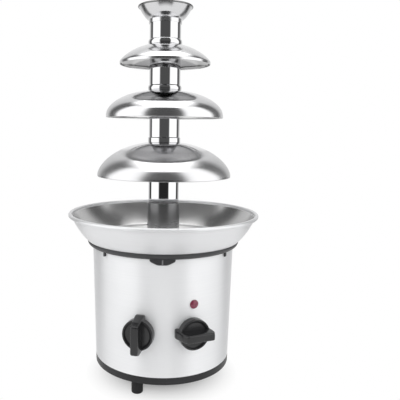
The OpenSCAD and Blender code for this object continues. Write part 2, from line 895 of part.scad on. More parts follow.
module idler_gear() {
    pinion_h = second_z + second_face + end_play - first_z - first_face;
    color("#d9d4c4") translate([IDLER.x, IDLER.y, first_z]) difference() {
        union() {
            rotate([0, 0, motor_turn]) gear(wheel_teeth, first_module, first_face);
            translate([0, 0, first_face]) rotate([0, 0, idler_turn + 180 + pinion_half_pitch])
                gear(pinion_teeth, second_module, pinion_h);
        }
        translate([0, 0, -through])
            cylinder(r = idler_pin_r + running, h = first_face + pinion_h + 2 * through);
    }
}

module idler_pin() {
    pin_z = case_z + pin_floor;
    color("#a9acb0") translate([IDLER.x, IDLER.y, pin_z])
        cylinder(r = idler_pin_r, h = cover_z + pin_entry - pin_z);
}

// Gearbox

// Outline of the gearbox, grown outwards by a margin
module box_outline(margin) {
    circle(r = output_room_r + margin);
    translate(IDLER) circle(r = idler_room_r + margin);
}

// The three cover screws: two beside the output wheel and one beyond the idler
function box_screw_places() = [
    for (turn = [260, 160]) (output_room_r + box_screw_out) * [cos(turn), sin(turn)],
    IDLER + (idler_room_r + box_screw_out) * [cos(idler_turn), sin(idler_turn)]
];

module gearbox_case() {
    wall_top = cover_z - seat;
    wall_h = wall_top - case_z;
    idler_boss_r = idler_pin_r + 2;
    screw_hole_h = box_screw_grip + box_screw_room;
    color("#8d9196") difference() {
        union() {
            translate([0, 0, case_z]) linear_extrude(height = wall_h) box_outline(box_wall);
            for (p = box_screw_places()) translate([p.x, p.y, case_z])
                cylinder(r = screw_boss_r, h = wall_h);
            translate([MOTOR.x, MOTOR.y, case_z - motor_boss_h])
                cylinder(r = rotor_bush_r + boss_wall, h = motor_boss_h + through);
        }
        difference() {
            translate([0, 0, case_floor_top]) linear_extrude(height = wall_top) box_outline(0);
            cylinder(r = bush_r + boss_wall, h = second_z - bush_gap);
            translate([IDLER.x, IDLER.y, 0]) cylinder(r = idler_boss_r, h = first_z - end_play);
        }
        translate([0, 0, case_floor_top]) cylinder(r = bush_r + running, h = wall_top);
        translate([IDLER.x, IDLER.y, case_z + pin_floor - seat])
            cylinder(r = idler_pin_r + running, h = wall_top);
        translate([MOTOR.x, MOTOR.y, case_z - motor_boss_h - through])
            cylinder(r = rotor_bush_r + running, h = wall_top);
        for (p = box_screw_places()) translate([p.x, p.y, wall_top - screw_hole_h])
            cylinder(r = box_screw_r + running, h = screw_hole_h + through);
        for (p = motor_screw_places()) translate([p.x, p.y, case_z - through])
            cylinder(r = motor_screw_r + running, h = box_floor + 2 * through);
    }
}

module gearbox_cover() {
    arm_w = 1.6 * hang_lug_r;
    arm_root = output_room_r - box_room;
    bush_seat_h = box_floor + cover_boss_h;
    color("#9a9ea3") difference() {
        union() {
            translate([0, 0, cover_z]) linear_extrude(height = box_floor) box_outline(box_wall);
            for (p = box_screw_places()) translate([p.x, p.y, cover_z])
                cylinder(r = screw_boss_r, h = box_floor);
            translate([0, 0, cover_z]) cylinder(r = bush_r + boss_wall, h = bush_seat_h);
            hang_places() translate([0, 0, cover_z]) cylinder(r = hang_lug_r, h = box_floor);
            for (turn = hang_turns) rotate([0, 0, turn])
                translate([arm_root, -arm_w / 2, cover_z]) cube([hang_ring_r - arm_root, arm_w, box_floor]);
        }
        translate([0, 0, cover_z - through]) cylinder(r = bush_r + running, h = bush_seat_h + 2 * through);
        translate([IDLER.x, IDLER.y, cover_z - through])
            cylinder(r = idler_pin_r + running, h = pin_entry + seat + through);
        hang_places() translate([0, 0, cover_z - through])
            cylinder(r = hang_stud_r + screw_play, h = box_floor + 2 * through);
        for (p = box_screw_places()) translate([p.x, p.y, cover_z - through])
            cylinder(r = box_screw_r + screw_play, h = box_floor + 2 * through);
    }
}

module gearbox_screws() {
    shank_h = box_floor + box_screw_grip;
    color("#b8babd") for (p = box_screw_places()) translate([p.x, p.y, box_top + seat]) {
        cylinder(r = 2 * box_screw_r, h = screw_head_h);
        translate([0, 0, -shank_h]) cylinder(r = box_screw_r, h = shank_h + seat);
    }
}

module output_bushes() {
    color("#b08a4a") {
        translate([0, 0, cover_z]) pipe(bush_r, shaft_r + running, box_floor + cover_boss_h);
        translate([0, 0, case_floor_top + seat])
            pipe(bush_r, shaft_r + running, second_z - bush_gap - case_floor_top - seat);
    }
}

// Motor

function motor_screw_places() = [
    for (x = [-1, 1]) for (y = [-1, 1]) MOTOR + motor_screw_pitch * [x, y]
];

module stator_core() {
    color("#77797d") difference() {
        translate([MOTOR.x - stator_w / 2, stator_front, stack_z]) cube([stator_w, stator_l, stack_h]);
        translate([MOTOR.x, MOTOR.y, stack_z - through])
            cylinder(r = rotor_r + air_gap, h = stack_h + 2 * through);
        translate([MOTOR.x - coil_l / 2 - window_gap, leg_y - leg_w / 2 - coil_room, stack_z - through])
            cube([coil_l + 2 * window_gap, coil_room, stack_h + 2 * through]);
        for (p = motor_screw_places()) translate([p.x, p.y, stack_z - through])
            cylinder(r = motor_screw_r + screw_play, h = stack_h + 2 * through);
    }
}

// A box-shaped sleeve round the stator's leg
module leg_sleeve(inner, wall, l) {
    hole = [l + 2 * through, leg_w + 2 * inner, stack_h + 2 * inner];
    block = [l, hole.y + 2 * wall, hole.z + 2 * wall];
    translate([MOTOR.x, leg_y, stack_z + stack_h / 2]) difference() {
        cube(block, center = true);
        cube(hole, center = true);
    }
}

module coil_bobbin() {
    color("#e9e6da") union() {
        leg_sleeve(seat, bobbin_t - seat, coil_l);
        for (side = [-1, 1]) translate([side * (coil_l - bobbin_flange_t) / 2, 0, 0])
            leg_sleeve(bobbin_t / 2, coil_t + bobbin_t / 2, bobbin_flange_t);
    }
}

module motor_coil() {
    winding_l = coil_l - 2 * (bobbin_flange_t + seat);
    color("#a5512d") leg_sleeve(bobbin_t + seat, coil_t - coil_margin, winding_l);
}

module motor_bracket() {
    plate_inset = 1;
    plate = stator_w - 2 * plate_inset;
    seat_h = bracket_boss_h + bracket_t;
    color("#a2a6aa") translate([MOTOR.x, MOTOR.y, bracket_z]) difference() {
        union() {
            translate([-plate / 2, -plate / 2, 0]) cube([plate, plate, bracket_t]);
            translate([0, 0, -bracket_boss_h]) cylinder(r = rotor_bush_r + boss_wall, h = seat_h);
        }
        translate([0, 0, -bracket_boss_h - through])
            cylinder(r = rotor_bush_r + running, h = seat_h + 2 * through);
        for (x = [-1, 1]) for (y = [-1, 1])
            translate([x * motor_screw_pitch, y * motor_screw_pitch, -through])
                cylinder(r = motor_screw_r + screw_play, h = bracket_t + 2 * through);
    }
}

module motor_spacers() {
    spacer_r = motor_screw_r + boss_wall;
    upper_l = case_z - stack_top - 2 * seat;
    lower_l = fan_space - 2 * seat;
    color("#9fa3a8") for (p = motor_screw_places()) translate([p.x, p.y, 0]) {
        translate([0, 0, stack_top + seat]) pipe(spacer_r, motor_screw_r + screw_play, upper_l);
        translate([0, 0, stack_z - fan_space + seat]) pipe(spacer_r, motor_screw_r + screw_play, lower_l);
    }
}

module motor_screws() {
    shank = case_z + box_floor - end_play - bracket_z + seat;
    head_r = motor_screw_r + 1.4;
    color("#b8babd") for (p = motor_screw_places()) translate([p.x, p.y, bracket_z - seat]) {
        cylinder(r = motor_screw_r, h = shank);
        translate([0, 0, -screw_head_h]) cylinder(r = head_r, h = screw_head_h);
    }
}

module rotor_bushes() {
    color("#b08a4a") translate([MOTOR.x, MOTOR.y, 0]) {
        translate([0, 0, case_z - motor_boss_h])
            pipe(rotor_bush_r, rotor_shaft_r + running, motor_boss_h + box_floor);
        translate([0, 0, bracket_z - bracket_boss_h])
            pipe(rotor_bush_r, rotor_shaft_r + running, bracket_boss_h + bracket_t);
    }
}

// The rotor's shaft carries the first pinion, cut on its upper end
module rotor_shaft() {
    shaft_z = bracket_z - shaft_tail;
    color("#a9acb0") translate([MOTOR.x, MOTOR.y, 0]) union() {
        translate([0, 0, shaft_z]) cylinder(r = rotor_shaft_r, h = first_z + through - shaft_z);
        translate([0, 0, first_z]) rotate([0, 0, motor_turn + 180 + pinion_half_pitch])
            gear(pinion_teeth, first_module, first_face + end_play);
    }
}

module rotor_core() {
    color("#85878b") translate([MOTOR.x, MOTOR.y, stack_z - rotor_stand])
        pipe(rotor_r, rotor_shaft_r + running / 2, stack_h + 2 * rotor_stand);
}

module motor_fan() {
    hub_r = 2 * rotor_shaft_r;
    disc_r = fan_r - 4;
    blade_sink = 1;
    blade_l = fan_r - hub_r - blade_sink / 2;
    blade_t = 1.2;
    blade_turn = 8;
    color("#2f3033") translate([MOTOR.x, MOTOR.y, fan_z]) difference() {
        union() {
            cylinder(r = hub_r, h = fan_h);
            cylinder(r = disc_r, h = fan_disc_t);
            for (k = [0 : fan_blades - 1]) rotate([0, 0, 360 * k / fan_blades])
                translate([hub_r - blade_sink, 0, 0]) rotate([0, 0, blade_turn])
                    cube([blade_l, blade_t, fan_h]);
        }
        translate([0, 0, -through]) cylinder(r = rotor_shaft_r + running / 2, h = fan_h + 2 * through);
    }
}

// Tower

// Outer face of a dome, from its edge up and in to the tube
function dome_path(dome) =
    concat(
        [[dome[0], 0]],
        [
            for (k = [0 : curve_steps])
                let (r = neck_r + (dome[0] - neck_r) * cos(90 * k / curve_steps)) [r, crown_rise(dome, r)]
        ]
    );

module dome(shape, z) {
    translate([0, 0, z]) turned(sheet(dome_path(shape), dome_t));
}

// A tube whose lower end widens into a mouth that slips over the tube below
module mouth_tube(z, top, swell) {
    shoulder_h = 1;
    mouth_top = z + mouth_h - shoulder_h;
    mouth = [for (k = [0 : 8]) [mouth_r + swell * sin(180 * k / 8), z + (mouth_top - z) * k / 8]];
    outline = concat(
        mouth,
        [
            [tube_r, z + mouth_h],
            [tube_r, top],
            [tube_bore_r, top],
            [tube_bore_r, z + mouth_h],
            [mouth_bore_r, mouth_top],
            [mouth_bore_r, z]
        ]
    );
    turned(outline);
}

module lower_tube() {
    color("#dfe1e3") translate([0, 0, lower_tube_z])
        pipe(tube_r, tube_bore_r, middle_tube_z + spigot_h - lower_tube_z);
}

module middle_tube() {
    color("#dfe1e3") mouth_tube(middle_tube_z, upper_tube_z + spigot_h, 0);
}

module upper_tube() {
    color("#dfe1e3") mouth_tube(upper_tube_z, crown_tube_z + spigot_h, mouth_swell);
}

module crown_tube() {
    color("#dfe1e3") mouth_tube(crown_tube_z, crown_tube_top, mouth_swell);
}

module large_dome() { color("#cfd1d3") dome(LARGE, large_z); }
module medium_dome() { color("#cfd1d3") dome(MEDIUM, medium_z); }
module small_dome() { color("#cfd1d3") dome(SMALL, small_z); }

// The cup's sheet, from its sleeve up the flare to the rolled lip
function crown_path() =
    let (start = tube_r + running + crown_t, end = crown_d / 2 - lip_r)
    concat(
        [[start, sleeve_z]],
        [
            for (k = [0 : curve_steps])
                let (t = k / curve_steps) [start + (end - start) * t, flare_z + flare_h * pow(t, flare_curve)]
        ]
    );

module crown_cup() {
    color("#d3d5d7") union() {
        turned(sheet(crown_path(), crown_t));
        translate([0, 0, crown_z - lip_r]) rotate_extrude()
            translate([crown_d / 2 - lip_r, 0]) circle(r = lip_r);
    }
}

// Auger

module auger_hub() {
    color("#8b8e92") difference() {
        union() {
            translate([0, 0, hub_z]) cylinder(r = core_r, h = hub_top - hub_z);
            translate([0, 0, hub_top]) cylinder(r = core_r - core_t - running, h = plug_h);
        }
        translate([0, 0, hub_z - through]) hexagon(dog_flats + 2 * slip, dog_top + seat - hub_z + through);
    }
}

module auger_core() {
    cap_r = 4;
    outline = concat(
        [[core_r - core_t, hub_top + seat], [core_r, hub_top + seat]],
        arc([core_r - cap_r, auger_top - cap_r], cap_r, 0, 90, 6),
        [[0, auger_top], [0, auger_top - 2 * core_t], [core_r - core_t, auger_top - cap_r - core_t]]
    );
    color("#bfc2c5") turned(outline);
}

// One right-handed helical strip: turned clockwise, seen from above, it lifts the chocolate
module auger_flight() {
    length = flight_top - flight_z;
    turns = length / flight_pitch;
    half_width = 180 * flight_t / flight_pitch;
    inner_r = core_r + flight_gap;
    section = concat(
        [for (a = [-1, 0, 1]) inner_r * [cos(a * half_width), sin(a * half_width)]],
        [for (a = [1, 0, -1]) flight_d / 2 * [cos(a * half_width), sin(a * half_width)]]
    );
    color("#bfc2c5") translate([0, 0, flight_z])
        linear_extrude(
            height = length,
            twist = -360 * turns,
            slices = ceil(flight_steps_per_turn * turns),
            $fn = len(section)
        ) polygon(section);
}

// Controls

// Cross-section of a spindle with its flat, grown by a margin
module spindle_section(margin) {
    difference() {
        circle(r = spindle_r + margin);
        translate([-spindle_r, spindle_r - spindle_flat + margin]) square([2 * spindle_r, spindle_r]);
    }
}

// Side view of the grip, [along the pointer, out from the drum]: pointer tab, ridge, heel and root
function grip_side() =
    let (
        tab_gap = 2.5,
        tab_h = 4.5,
        tab_slope = 0.8,
        brow = [knob_d / 2 - 0.5, grip_lift - 7],
        ridge_end = knob_d / 2 - 4,
        heel_slope = [2.5, 6],
        heel_foot = [2, 3],
        root_sink = 1
    )
    [
        [pointer_reach, tab_gap],
        [pointer_reach + tab_slope, tab_gap + tab_h],
        brow,
        [ridge_end, grip_lift],
        [-heel_reach + heel_slope.x, grip_lift],
        [-heel_reach, grip_lift - heel_slope.y],
        [-heel_reach + heel_foot.x, disc_lift + heel_foot.y],
        [0, disc_lift + root_sink]
    ];

// Looking along the pointer: the grip narrows from its root to its ridge
function grip_end() = [
    [root_w / 2, 0],
    [ridge_w / 2, grip_lift + through],
    [-ridge_w / 2, grip_lift + through],
    [-root_w / 2, 0]
];

module grip() {
    reach = pointer_reach + heel_reach;
    intersection() {
        rotate([90, 0, 90]) translate([0, 0, -root_w])
            linear_extrude(height = 2 * root_w) polygon(grip_side());
        rotate([90, 0, 0]) translate([0, 0, -reach]) linear_extrude(height = 2 * reach) polygon(grip_end());
    }
}

// A knob on the z axis with its pointer along +y; z = 0 is the drum's face
module knob() {
    disc_r = knob_d / 2;
    edge = 1;
    disc_top = disc_lift + disc_t;
    nut_play = 0.8;
    nut_room_r = control_nut_flats / 2 / cos(30) + nut_play;
    nut_room_h = control_nut_lift + control_nut_h + 2 * nut_play;
    disc = [
        [0, disc_lift],
        [disc_r - edge, disc_lift],
        [disc_r, disc_lift + edge],
        [disc_r, disc_top - edge],
        [disc_r - edge, disc_top],
        [0, disc_top]
    ];
    difference() {
        union() {
            difference() {
                union() {
                    turned(disc);
                    translate([0, 0, knob_gap]) cylinder(r = knob_hub_r, h = disc_lift);
                }
                translate([0, 0, disc_top - hollow_depth])
                    cylinder(r = disc_r - hollow_rim, h = hollow_depth + through);
            }
            grip();
        }
        translate([0, 0, -through]) cylinder(r = nut_room_r, h = nut_room_h + through);
        translate([0, 0, -through])
            linear_extrude(height = spindle_out + seat + through) spindle_section(running);
    }
}

module spindle() {
    translate([0, 0, -spindle_in]) linear_extrude(height = spindle_in + spindle_out) spindle_section(0);
}

module motor_knob() {
    color("#2b2c2e") facing(-knob_turn, knob_z, knob_face_r) rotate([0, 0, motor_knob_rest]) knob();
}

module heat_knob() {
    color("#2b2c2e") facing(knob_turn, knob_z, knob_face_r) rotate([0, 0, heat_knob_rest]) knob();
}

module motor_spindle() {
    color("#a9acb0") facing(-knob_turn, knob_z, knob_face_r) rotate([0, 0, motor_knob_rest]) spindle();
}

module heat_spindle() {
    color("#a9acb0") facing(knob_turn, knob_z, knob_face_r) rotate([0, 0, heat_knob_rest]) spindle();
}

// Threaded neck and spindle bore that both switches have
module switch_neck() {
    translate([0, 0, -switch_set_back]) cylinder(r = neck_thread_r, h = switch_set_back + neck_out);
}

module spindle_bore() {
    translate([0, 0, -spindle_in - seat])
        cylinder(r = spindle_r + running, h = spindle_in + neck_out + through);
}

module blade_terminals(count, pitch, z) {
    for (k = [0 : count - 1])
        translate([(k - (count - 1) / 2) * pitch - BLADE.x / 2, -BLADE.y / 2, z - BLADE.z])
            cube([BLADE.x, BLADE.y, BLADE.z + blade_sink]);
}

module motor_switch() {
    color("#ded9cb") facing(-knob_turn, knob_z, knob_face_r) difference() {
        union() {
            translate([-switch_w / 2, -switch_h / 2, -switch_set_back - switch_d])
                cube([switch_w, switch_h, switch_d]);
            switch_neck();
            blade_terminals(3, switch_w / 3, -switch_set_back - switch_d);
        }
        spindle_bore();
    }
}

module thermostat() {
    cup_r = switch_w / 2;
    color("#c9c5b7") facing(knob_turn, knob_z, knob_face_r) difference() {
        union() {
            translate([0, 0, -switch_set_back - switch_d]) cylinder(r = cup_r, h = switch_d);
            switch_neck();
            blade_terminals(2, switch_w / 2.5, -switch_set_back - switch_d);
        }
        spindle_bore();
    }
}

module control_nuts() {
    color("#b8babd") for (turn = [-knob_turn, knob_turn])
        facing(turn, knob_z, knob_face_r + control_nut_lift)
            nut(control_nut_flats, neck_thread_r + running, control_nut_h);
}

module lamp_lens() {
    cap_r = lamp_d / 2;
    outline = concat(
        [[0, -lamp_stem_l], [lamp_stem_r, -lamp_stem_l], [lamp_stem_r, seat]],
        [[cap_r, seat], [cap_r, lamp_brim]],
        [for (k = [1 : 6]) [cap_r * cos(15 * k), lamp_brim + lamp_rise * sin(15 * k)]]
    );
    color("#a2203c") facing(lamp_turn, lamp_z, lamp_face_r) turned(outline);
}

module lamp_body() {
    wall = 1.2;
    front = -drum_t - 0.6;
    color("#ece8dc") facing(lamp_turn, lamp_z, lamp_face_r) difference() {
        translate([0, 0, front - lamp_body_l]) cylinder(r = lamp_stem_r + wall, h = lamp_body_l);
        translate([0, 0, -lamp_stem_l - seat])
            cylinder(r = lamp_stem_r + running, h = lamp_stem_l + through);
    }
}

module terminal_block() {
    ways = 4;
    well_r = 2.6;
    well_h = 7;
    front = terminal_inset - drum_bottom_r;
    color("#e4e0d4") translate([-TERMINALS.x / 2, front, floor_top + seat]) difference() {
        cube(TERMINALS);
        for (k = [0 : ways - 1])
            translate([TERMINALS.x * (k + 0.5) / ways, TERMINALS.y / 2, TERMINALS.z - well_h])
                cylinder(r = well_r, h = well_h + through);
    }
}

// Grommet for the power cord at the back of the drum
module cord_inlet() {
    flange_r = inlet_stem_r + inlet_brim;
    flange_t = 3;
    flange_gap = 0.6;
    barb_t = 2.5;
    barb_gap = 1.7;
    tail = 8;
    color("#202022") facing(180, inlet_z, inlet_face_r) difference() {
        union() {
            translate([0, 0, flange_gap]) cylinder(r = flange_r, h = flange_t);
            translate([0, 0, -tail]) cylinder(r = inlet_stem_r, h = tail + flange_t);
            translate([0, 0, -drum_t - barb_gap - barb_t]) cylinder(r = flange_r, h = barb_t);
        }
        translate([0, 0, -tail - through]) cylinder(r = inlet_bore_r, h = tail + flange_t + 3 * through);
    }
}

base_pan();
housing_drum();
collar_ring();
bowl();
tower_socket();
shaft_seal();
heat_spreader();
heater_ring();
thermal_fuse();
hanging_studs();
stud_spacers();
stud_nuts();
tie_bosses();
tie_rods();
tie_nuts();
gearbox_case();
gearbox_cover();
gearbox_screws();
output_bushes();
idler_pin();
stator_core();
coil_bobbin();
motor_coil();
motor_bracket();
motor_spacers();
motor_screws();
rotor_bushes();
motor_switch();
thermostat();
control_nuts();
lamp_lens();
lamp_body();
terminal_block();
cord_inlet();
foot_inserts();
output_shaft();
output_gear();
drive_dog();
idler_gear();
rotor_shaft();
rotor_core();
motor_fan();
auger_hub();
auger_core();
auger_flight();
lower_tube();
large_dome();
middle_tube();
medium_dome();
upper_tube();
small_dome();
crown_tube();
crown_cup();
motor_knob();
motor_spindle();
heat_knob();
heat_spindle();
foot_left();
foot_right();
foot_rear();
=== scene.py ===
"""The looks of a chocolate fountain: steel drum, bowl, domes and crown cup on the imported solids."""

import json
import math

import bpy
import numpy as np
from mathutils import Matrix


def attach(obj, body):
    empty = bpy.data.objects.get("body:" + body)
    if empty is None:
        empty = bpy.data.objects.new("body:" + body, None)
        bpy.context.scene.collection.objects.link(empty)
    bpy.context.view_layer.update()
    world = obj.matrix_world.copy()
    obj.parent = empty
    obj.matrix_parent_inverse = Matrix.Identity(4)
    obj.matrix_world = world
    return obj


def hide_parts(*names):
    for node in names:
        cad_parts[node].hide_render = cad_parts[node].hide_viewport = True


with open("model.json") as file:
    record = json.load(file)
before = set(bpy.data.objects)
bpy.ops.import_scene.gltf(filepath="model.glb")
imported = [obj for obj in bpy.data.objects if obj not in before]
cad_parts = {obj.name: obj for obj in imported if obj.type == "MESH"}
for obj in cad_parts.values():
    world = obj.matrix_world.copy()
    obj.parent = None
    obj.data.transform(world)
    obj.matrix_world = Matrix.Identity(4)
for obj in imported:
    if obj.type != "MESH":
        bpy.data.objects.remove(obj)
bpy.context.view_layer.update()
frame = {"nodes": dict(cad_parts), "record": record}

# Sizes in millimetres, as in the solids; every shape is scaled to metres when it is placed.
# A turn is in degrees from the front, anticlockwise seen from above.
MM = 0.001

# The gap left where two pieces touch, and the angle in degrees from which an edge looks sharp
SEAT = 0.1
CREASE = 35.0

# Feet; their turns are from the x axis
FOOT_H = 21.0
FOOT_R = 7.0
FOOT_EDGE = 2.0
FOOT_TOP_EDGE = 0.6
FOOT_RING_R = 68.3
FOOT_TURNS = {"foot_left": -118.0, "foot_right": 2.0, "foot_rear": 122.0}
STUD_R = 3.0
STUD_Z = 12.0
STUD_TOP = 40.0

# Drum and what passes through it
DRUM_Z = 29.6
DRUM_H = 140.9
DRUM_BOTTOM_R = 85.6
DRUM_TOP_R = 88.6
DRUM_T = 0.8
KNOB_Z = 86.0
KNOB_TURN = 18.5
LAMP_Z = 116.6
LAMP_TURN = 21.5
INLET_Z = 50.0
INLET_TURN = 180.0

# Each hole's turn, height and radius
DRUM_HOLES = [
    (-KNOB_TURN, KNOB_Z, 5.2),
    (KNOB_TURN, KNOB_Z, 5.2),
    (LAMP_TURN, LAMP_Z, 4.2),
    (INLET_TURN, INLET_Z, 6.4),
]

# Collar, and the lug and hooks that hang from it
COLLAR_Z = 170.5
COLLAR_TOP = 177.6
COLLAR_BOTTOM_R = 89.3
COLLAR_TOP_R = 95.55
COLLAR_LEDGE = 2.6
SKIRT_R = 87.4
SKIRT_T = 1.7
SKIRT_H = 10.0
PATCH_TOP = COLLAR_Z + 1.5
PATCH_T = 2.2
PATCH_GAP = 0.2
LUG_TURN = -3.0
LUG_H = 6.5
LUG_SIDE_H = 2.4
LUG_HALF_W = 14.6
LUG_TIP_HALF_W = 5.6
RIB_H = 5.6
RIB_HALF_W = 0.8
RIB_T = 3.4
HOOK_TURNS = {"left": -52.0, "right": 52.0}
HOOK_HALF_W = 1.5
HOOK_LONG_H = 5.0
HOOK_SHORT_H = 4.2

# Bowl and socket
BOWL_UNDER = 176.4
BOWL_T = 1.0
BOWL_HOLE_R = 9.15
BOWL_FOOT = np.array([95.85, 178.2])
BOWL_RIM_R = 119.0
BOWL_RIM_Z = 210.9
BOWL_SWELL = 1.8
ROLL_R = 2.3
SOCKET_R = 20.3
SOCKET_BORE_R = 19.35
SOCKET_TOP = 222.6
ARCH_TOP = 187.4
ARCH_HALF_W = 10.0
LEDGE_BORE_R = 17.95
LEDGE_R = 19.6
LEDGE_Z = 193.4
LEDGE_TOP = 195.4
PIN_TURN = -80.0
PIN_Z = 194.4
PIN_R = 0.8
PIN_L = 2.4

# Tower
TUBE_R = 19.05
TUBE_BORE_R = 18.25
TUBE_EDGE = 0.3
TOWER_FOOT = 195.5
MOUTH_H = 6.2
MOUTH_BORE_R = 19.35
MOUTH_R = 20.15
SHOULDER_H = 1.0
SPIGOT_H = 4.8
NECK_R = 19.35
DOME_T = 0.9
CROWN_Z = 461.0
CROWN_R = 33.4
CUP_SLEEVE_R = 20.0
CUP_T = 0.9
FLARE_H = 15.2
FLARE_POWER = 1.55
SLEEVE_H = 4.2
LIP_R = 1.0

# A dome is its edge height, edge radius, upright lip, crown height and the two powers of its curve
DOMES = {
    "large_dome": (256.4, 83.0, 2.0, 41.0, 2.2, 1.6),
    "medium_dome": (328.5, 72.2, 1.9, 32.3, 2.0, 2.0),
    "small_dome": (392.5, 55.5, 2.5, 23.0, 2.0, 1.3),
}
DOME_BODIES = {"large_dome": "tower", "medium_dome": "medium_tier", "small_dome": "small_tier"}

# Auger
CORE_R = 10.2
CORE_FOOT = 193.6
NOSE_R = 4.0
AUGER_TOP = 476.0
FLIGHT_R = 17.5
FLIGHT_Z = 181.9
FLIGHT_TOP = 443.8
FLIGHT_PITCH = 36.0
FLIGHT_ROOT_T = 2.0
FLIGHT_EDGE_T = 1.4

# Knobs, lamp and cord inlet, measured out from the drum's face
HUB_R = 11.0
DISC_R = 18.0
DISC_BACK = 7.0
DISC_FRONT = 16.0
HOLLOW = 14.4
GRIP_HALF_W = 6.5
GRIP_TAPER = 2.0 / 29.0
LENS_R = 5.2
LENS_SIDE = 0.8
LENS_RISE = 1.6
LENS_STEM_R = 4.4
LENS_STEM_L = 8.0
INLET_BORE_R = 3.7

# The grip's side view: each corner's place along the grip and out from the drum
GRIP_CORNERS = {
    "tab's foot": (20.0, 2.5),
    "tab's tip": (20.8, 7.0),
    "brow": (17.5, 21.0),
    "ridge's front": (14.0, 28.0),
    "ridge's back": (-18.5, 28.0),
    "heel": (-21.0, 22.0),
    "heel's foot": (-19.0, 10.0),
    "root": (0.0, 8.0),
}

# The inlet's stem and flanges: radius, and where each starts and ends
INLET_STEPS = [(6.3, -8.0, -5.0), (8.9, -5.0, -2.5), (6.3, -2.5, 0.6), (8.9, 0.6, 3.6)]


# Shapes


def arc(centre, radius, start, end, count):
    """Points of a circle's arc between two angles in degrees."""
    angle = np.radians(np.linspace(start, end, count))
    return np.asarray(centre) + radius * np.stack([np.cos(angle), np.sin(angle)], axis=-1)


def line(start, end, count):
    """Evenly spaced points on a straight line."""
    t = np.linspace(0.0, 1.0, count)[:, None]
    return np.asarray(start) * (1.0 - t) + np.asarray(end) * t


def rectangle(left, right, low, high):
    """The corners of an upright rectangle, anticlockwise from the lower left."""
    return [[left, low], [right, low], [right, high], [left, high]]


def joined(*parts):
    """Several lists of points as one, in the given order."""
    return np.concatenate(parts)


def left_normals(path):
    """Unit normals on the left of a path, from the path's own gradient."""
    along = np.gradient(path, axis=0)
    along /= np.linalg.norm(along, axis=1, keepdims=True)
    return np.stack([-along[:, 1], along[:, 0]], axis=-1)


def sheet(path, thickness):
    """Closed outline of a thin sheet: a path, the same path moved to its left, and round edges."""
    side = left_normals(path)
    half = thickness / 2.0
    middle = path + half * side
    cap = np.radians(np.linspace(0.0, 180.0, 7))[1:-1, None]

    def edge(i, outward):
        """Half a circle round one end of the sheet."""
        return middle[i] + half * (np.cos(cap) * -side[i] + np.sin(cap) * outward)

    first_out = path[0] - path[1]
    last_out = path[-1] - path[-2]
    first_out /= np.linalg.norm(first_out)
    last_out /= np.linalg.norm(last_out)
    other_side = path + thickness * side
    return joined(path, edge(-1, last_out), other_side[::-1], edge(0, first_out)[::-1])


def rounded(corners, radius, count=5):
    """A closed outline with each corner replaced by a quadratic curve that starts a radius before it."""
    corners = np.asarray(corners, dtype=float)
    before = np.roll(corners, 1, axis=0) - corners
    after = np.roll(corners, -1, axis=0) - corners
    reach_in = np.linalg.norm(before, axis=1, keepdims=True)
    reach_out = np.linalg.norm(after, axis=1, keepdims=True)
    start = corners + before / reach_in * np.minimum(radius, 0.45 * reach_in)
    end = corners + after / reach_out * np.minimum(radius, 0.45 * reach_out)
    t = np.linspace(0.0, 1.0, count)[None, :, None]
    curve = (1 - t) ** 2 * start[:, None] + 2 * t * (1 - t) * corners[:, None] + t**2 * end[:, None]
    return curve.reshape(-1, 2)


def closed_lengths(outline):
    """An outline closed by its first point, and the length along it up to each point."""
    loop = joined(outline, outline[:1])
    gaps = np.linalg.norm(np.diff(loop, axis=0), axis=1)
    return loop, joined([0.0], np.cumsum(gaps))


def resampled(outline, count):
    """The same closed outline with evenly spaced points."""
    loop, length = closed_lengths(outline)
    at = np.linspace(0.0, length[-1], count, endpoint=False)
    return np.stack([np.interp(at, length, loop[:, k]) for k in (0, 1)], axis=-1)


def full_turn(steps):
    """Evenly spaced angles of one whole turn, in radians."""
    return np.linspace(0.0, 2.0 * np.pi, steps, endpoint=False)


def around_axis(r, z, turn):
    """Points about the z axis: r times the cosine and the sine of the turn, and z, as one grid."""
    return np.stack(np.broadcast_arrays(r * np.cos(turn), r * np.sin(turn), z), axis=-1)


def wrapped_quads(rows, columns, wrap_rows):
    """Corner numbers of the quads of a grid whose columns wrap round, and whose rows do if asked."""
    i, j = np.meshgrid(np.arange(rows if wrap_rows else rows - 1), np.arange(columns), indexing="ij")
    low, high = i * columns, (i + 1) % rows * columns
    right = (j + 1) % columns
    return np.stack([low + j, low + right, high + right, high + j], axis=-1).reshape(-1, 4)


def turned_ring(outline, steps, inner_from=None):
    """A ring: a closed [radius, height] outline carried once round the z axis.
    Its texture map runs in turns round the axis and in metres along the outline; the metres are
    negative on the sheet's inner side, which starts at the outline's point inner_from."""
    points = around_axis(outline[:, :1], outline[:, 1:], full_turn(steps))
    length = closed_lengths(outline)[1] * MM
    rows = len(outline)
    i, j = np.meshgrid(np.arange(rows), np.arange(steps), indexing="ij")
    u = (j[..., None] + [0, 1, 1, 0]) / steps
    v = length[i[..., None] + [0, 0, 1, 1]]
    if inner_from is not None:
        v[inner_from:] *= -1.0
    return {
        "points": points.reshape(-1, 3),
        "quads": wrapped_quads(rows, steps, True),
        "map": np.stack([u, v], axis=-1).reshape(-1, 2),
    }


def poled(rings, first_pole, last_pole):
    """A closed surface: a stack of rings of points, closed by a fan of triangles at either pole."""
    rows, columns = rings.shape[:2]
    points = joined(rings.reshape(-1, 3), [first_pole, last_pole])
    j = np.arange(columns)
    right = (j + 1) % columns
    first, last = rows * columns, rows * columns + 1
    top = (rows - 1) * columns
    low_fan = np.stack([np.full(columns, first), right, j], axis=-1)
    high_fan = np.stack([np.full(columns, last), top + j, top + right], axis=-1)
    return {
        "points": points,
        "quads": wrapped_quads(rows, columns, False),
        "triangles": joined(low_fan, high_fan),
    }


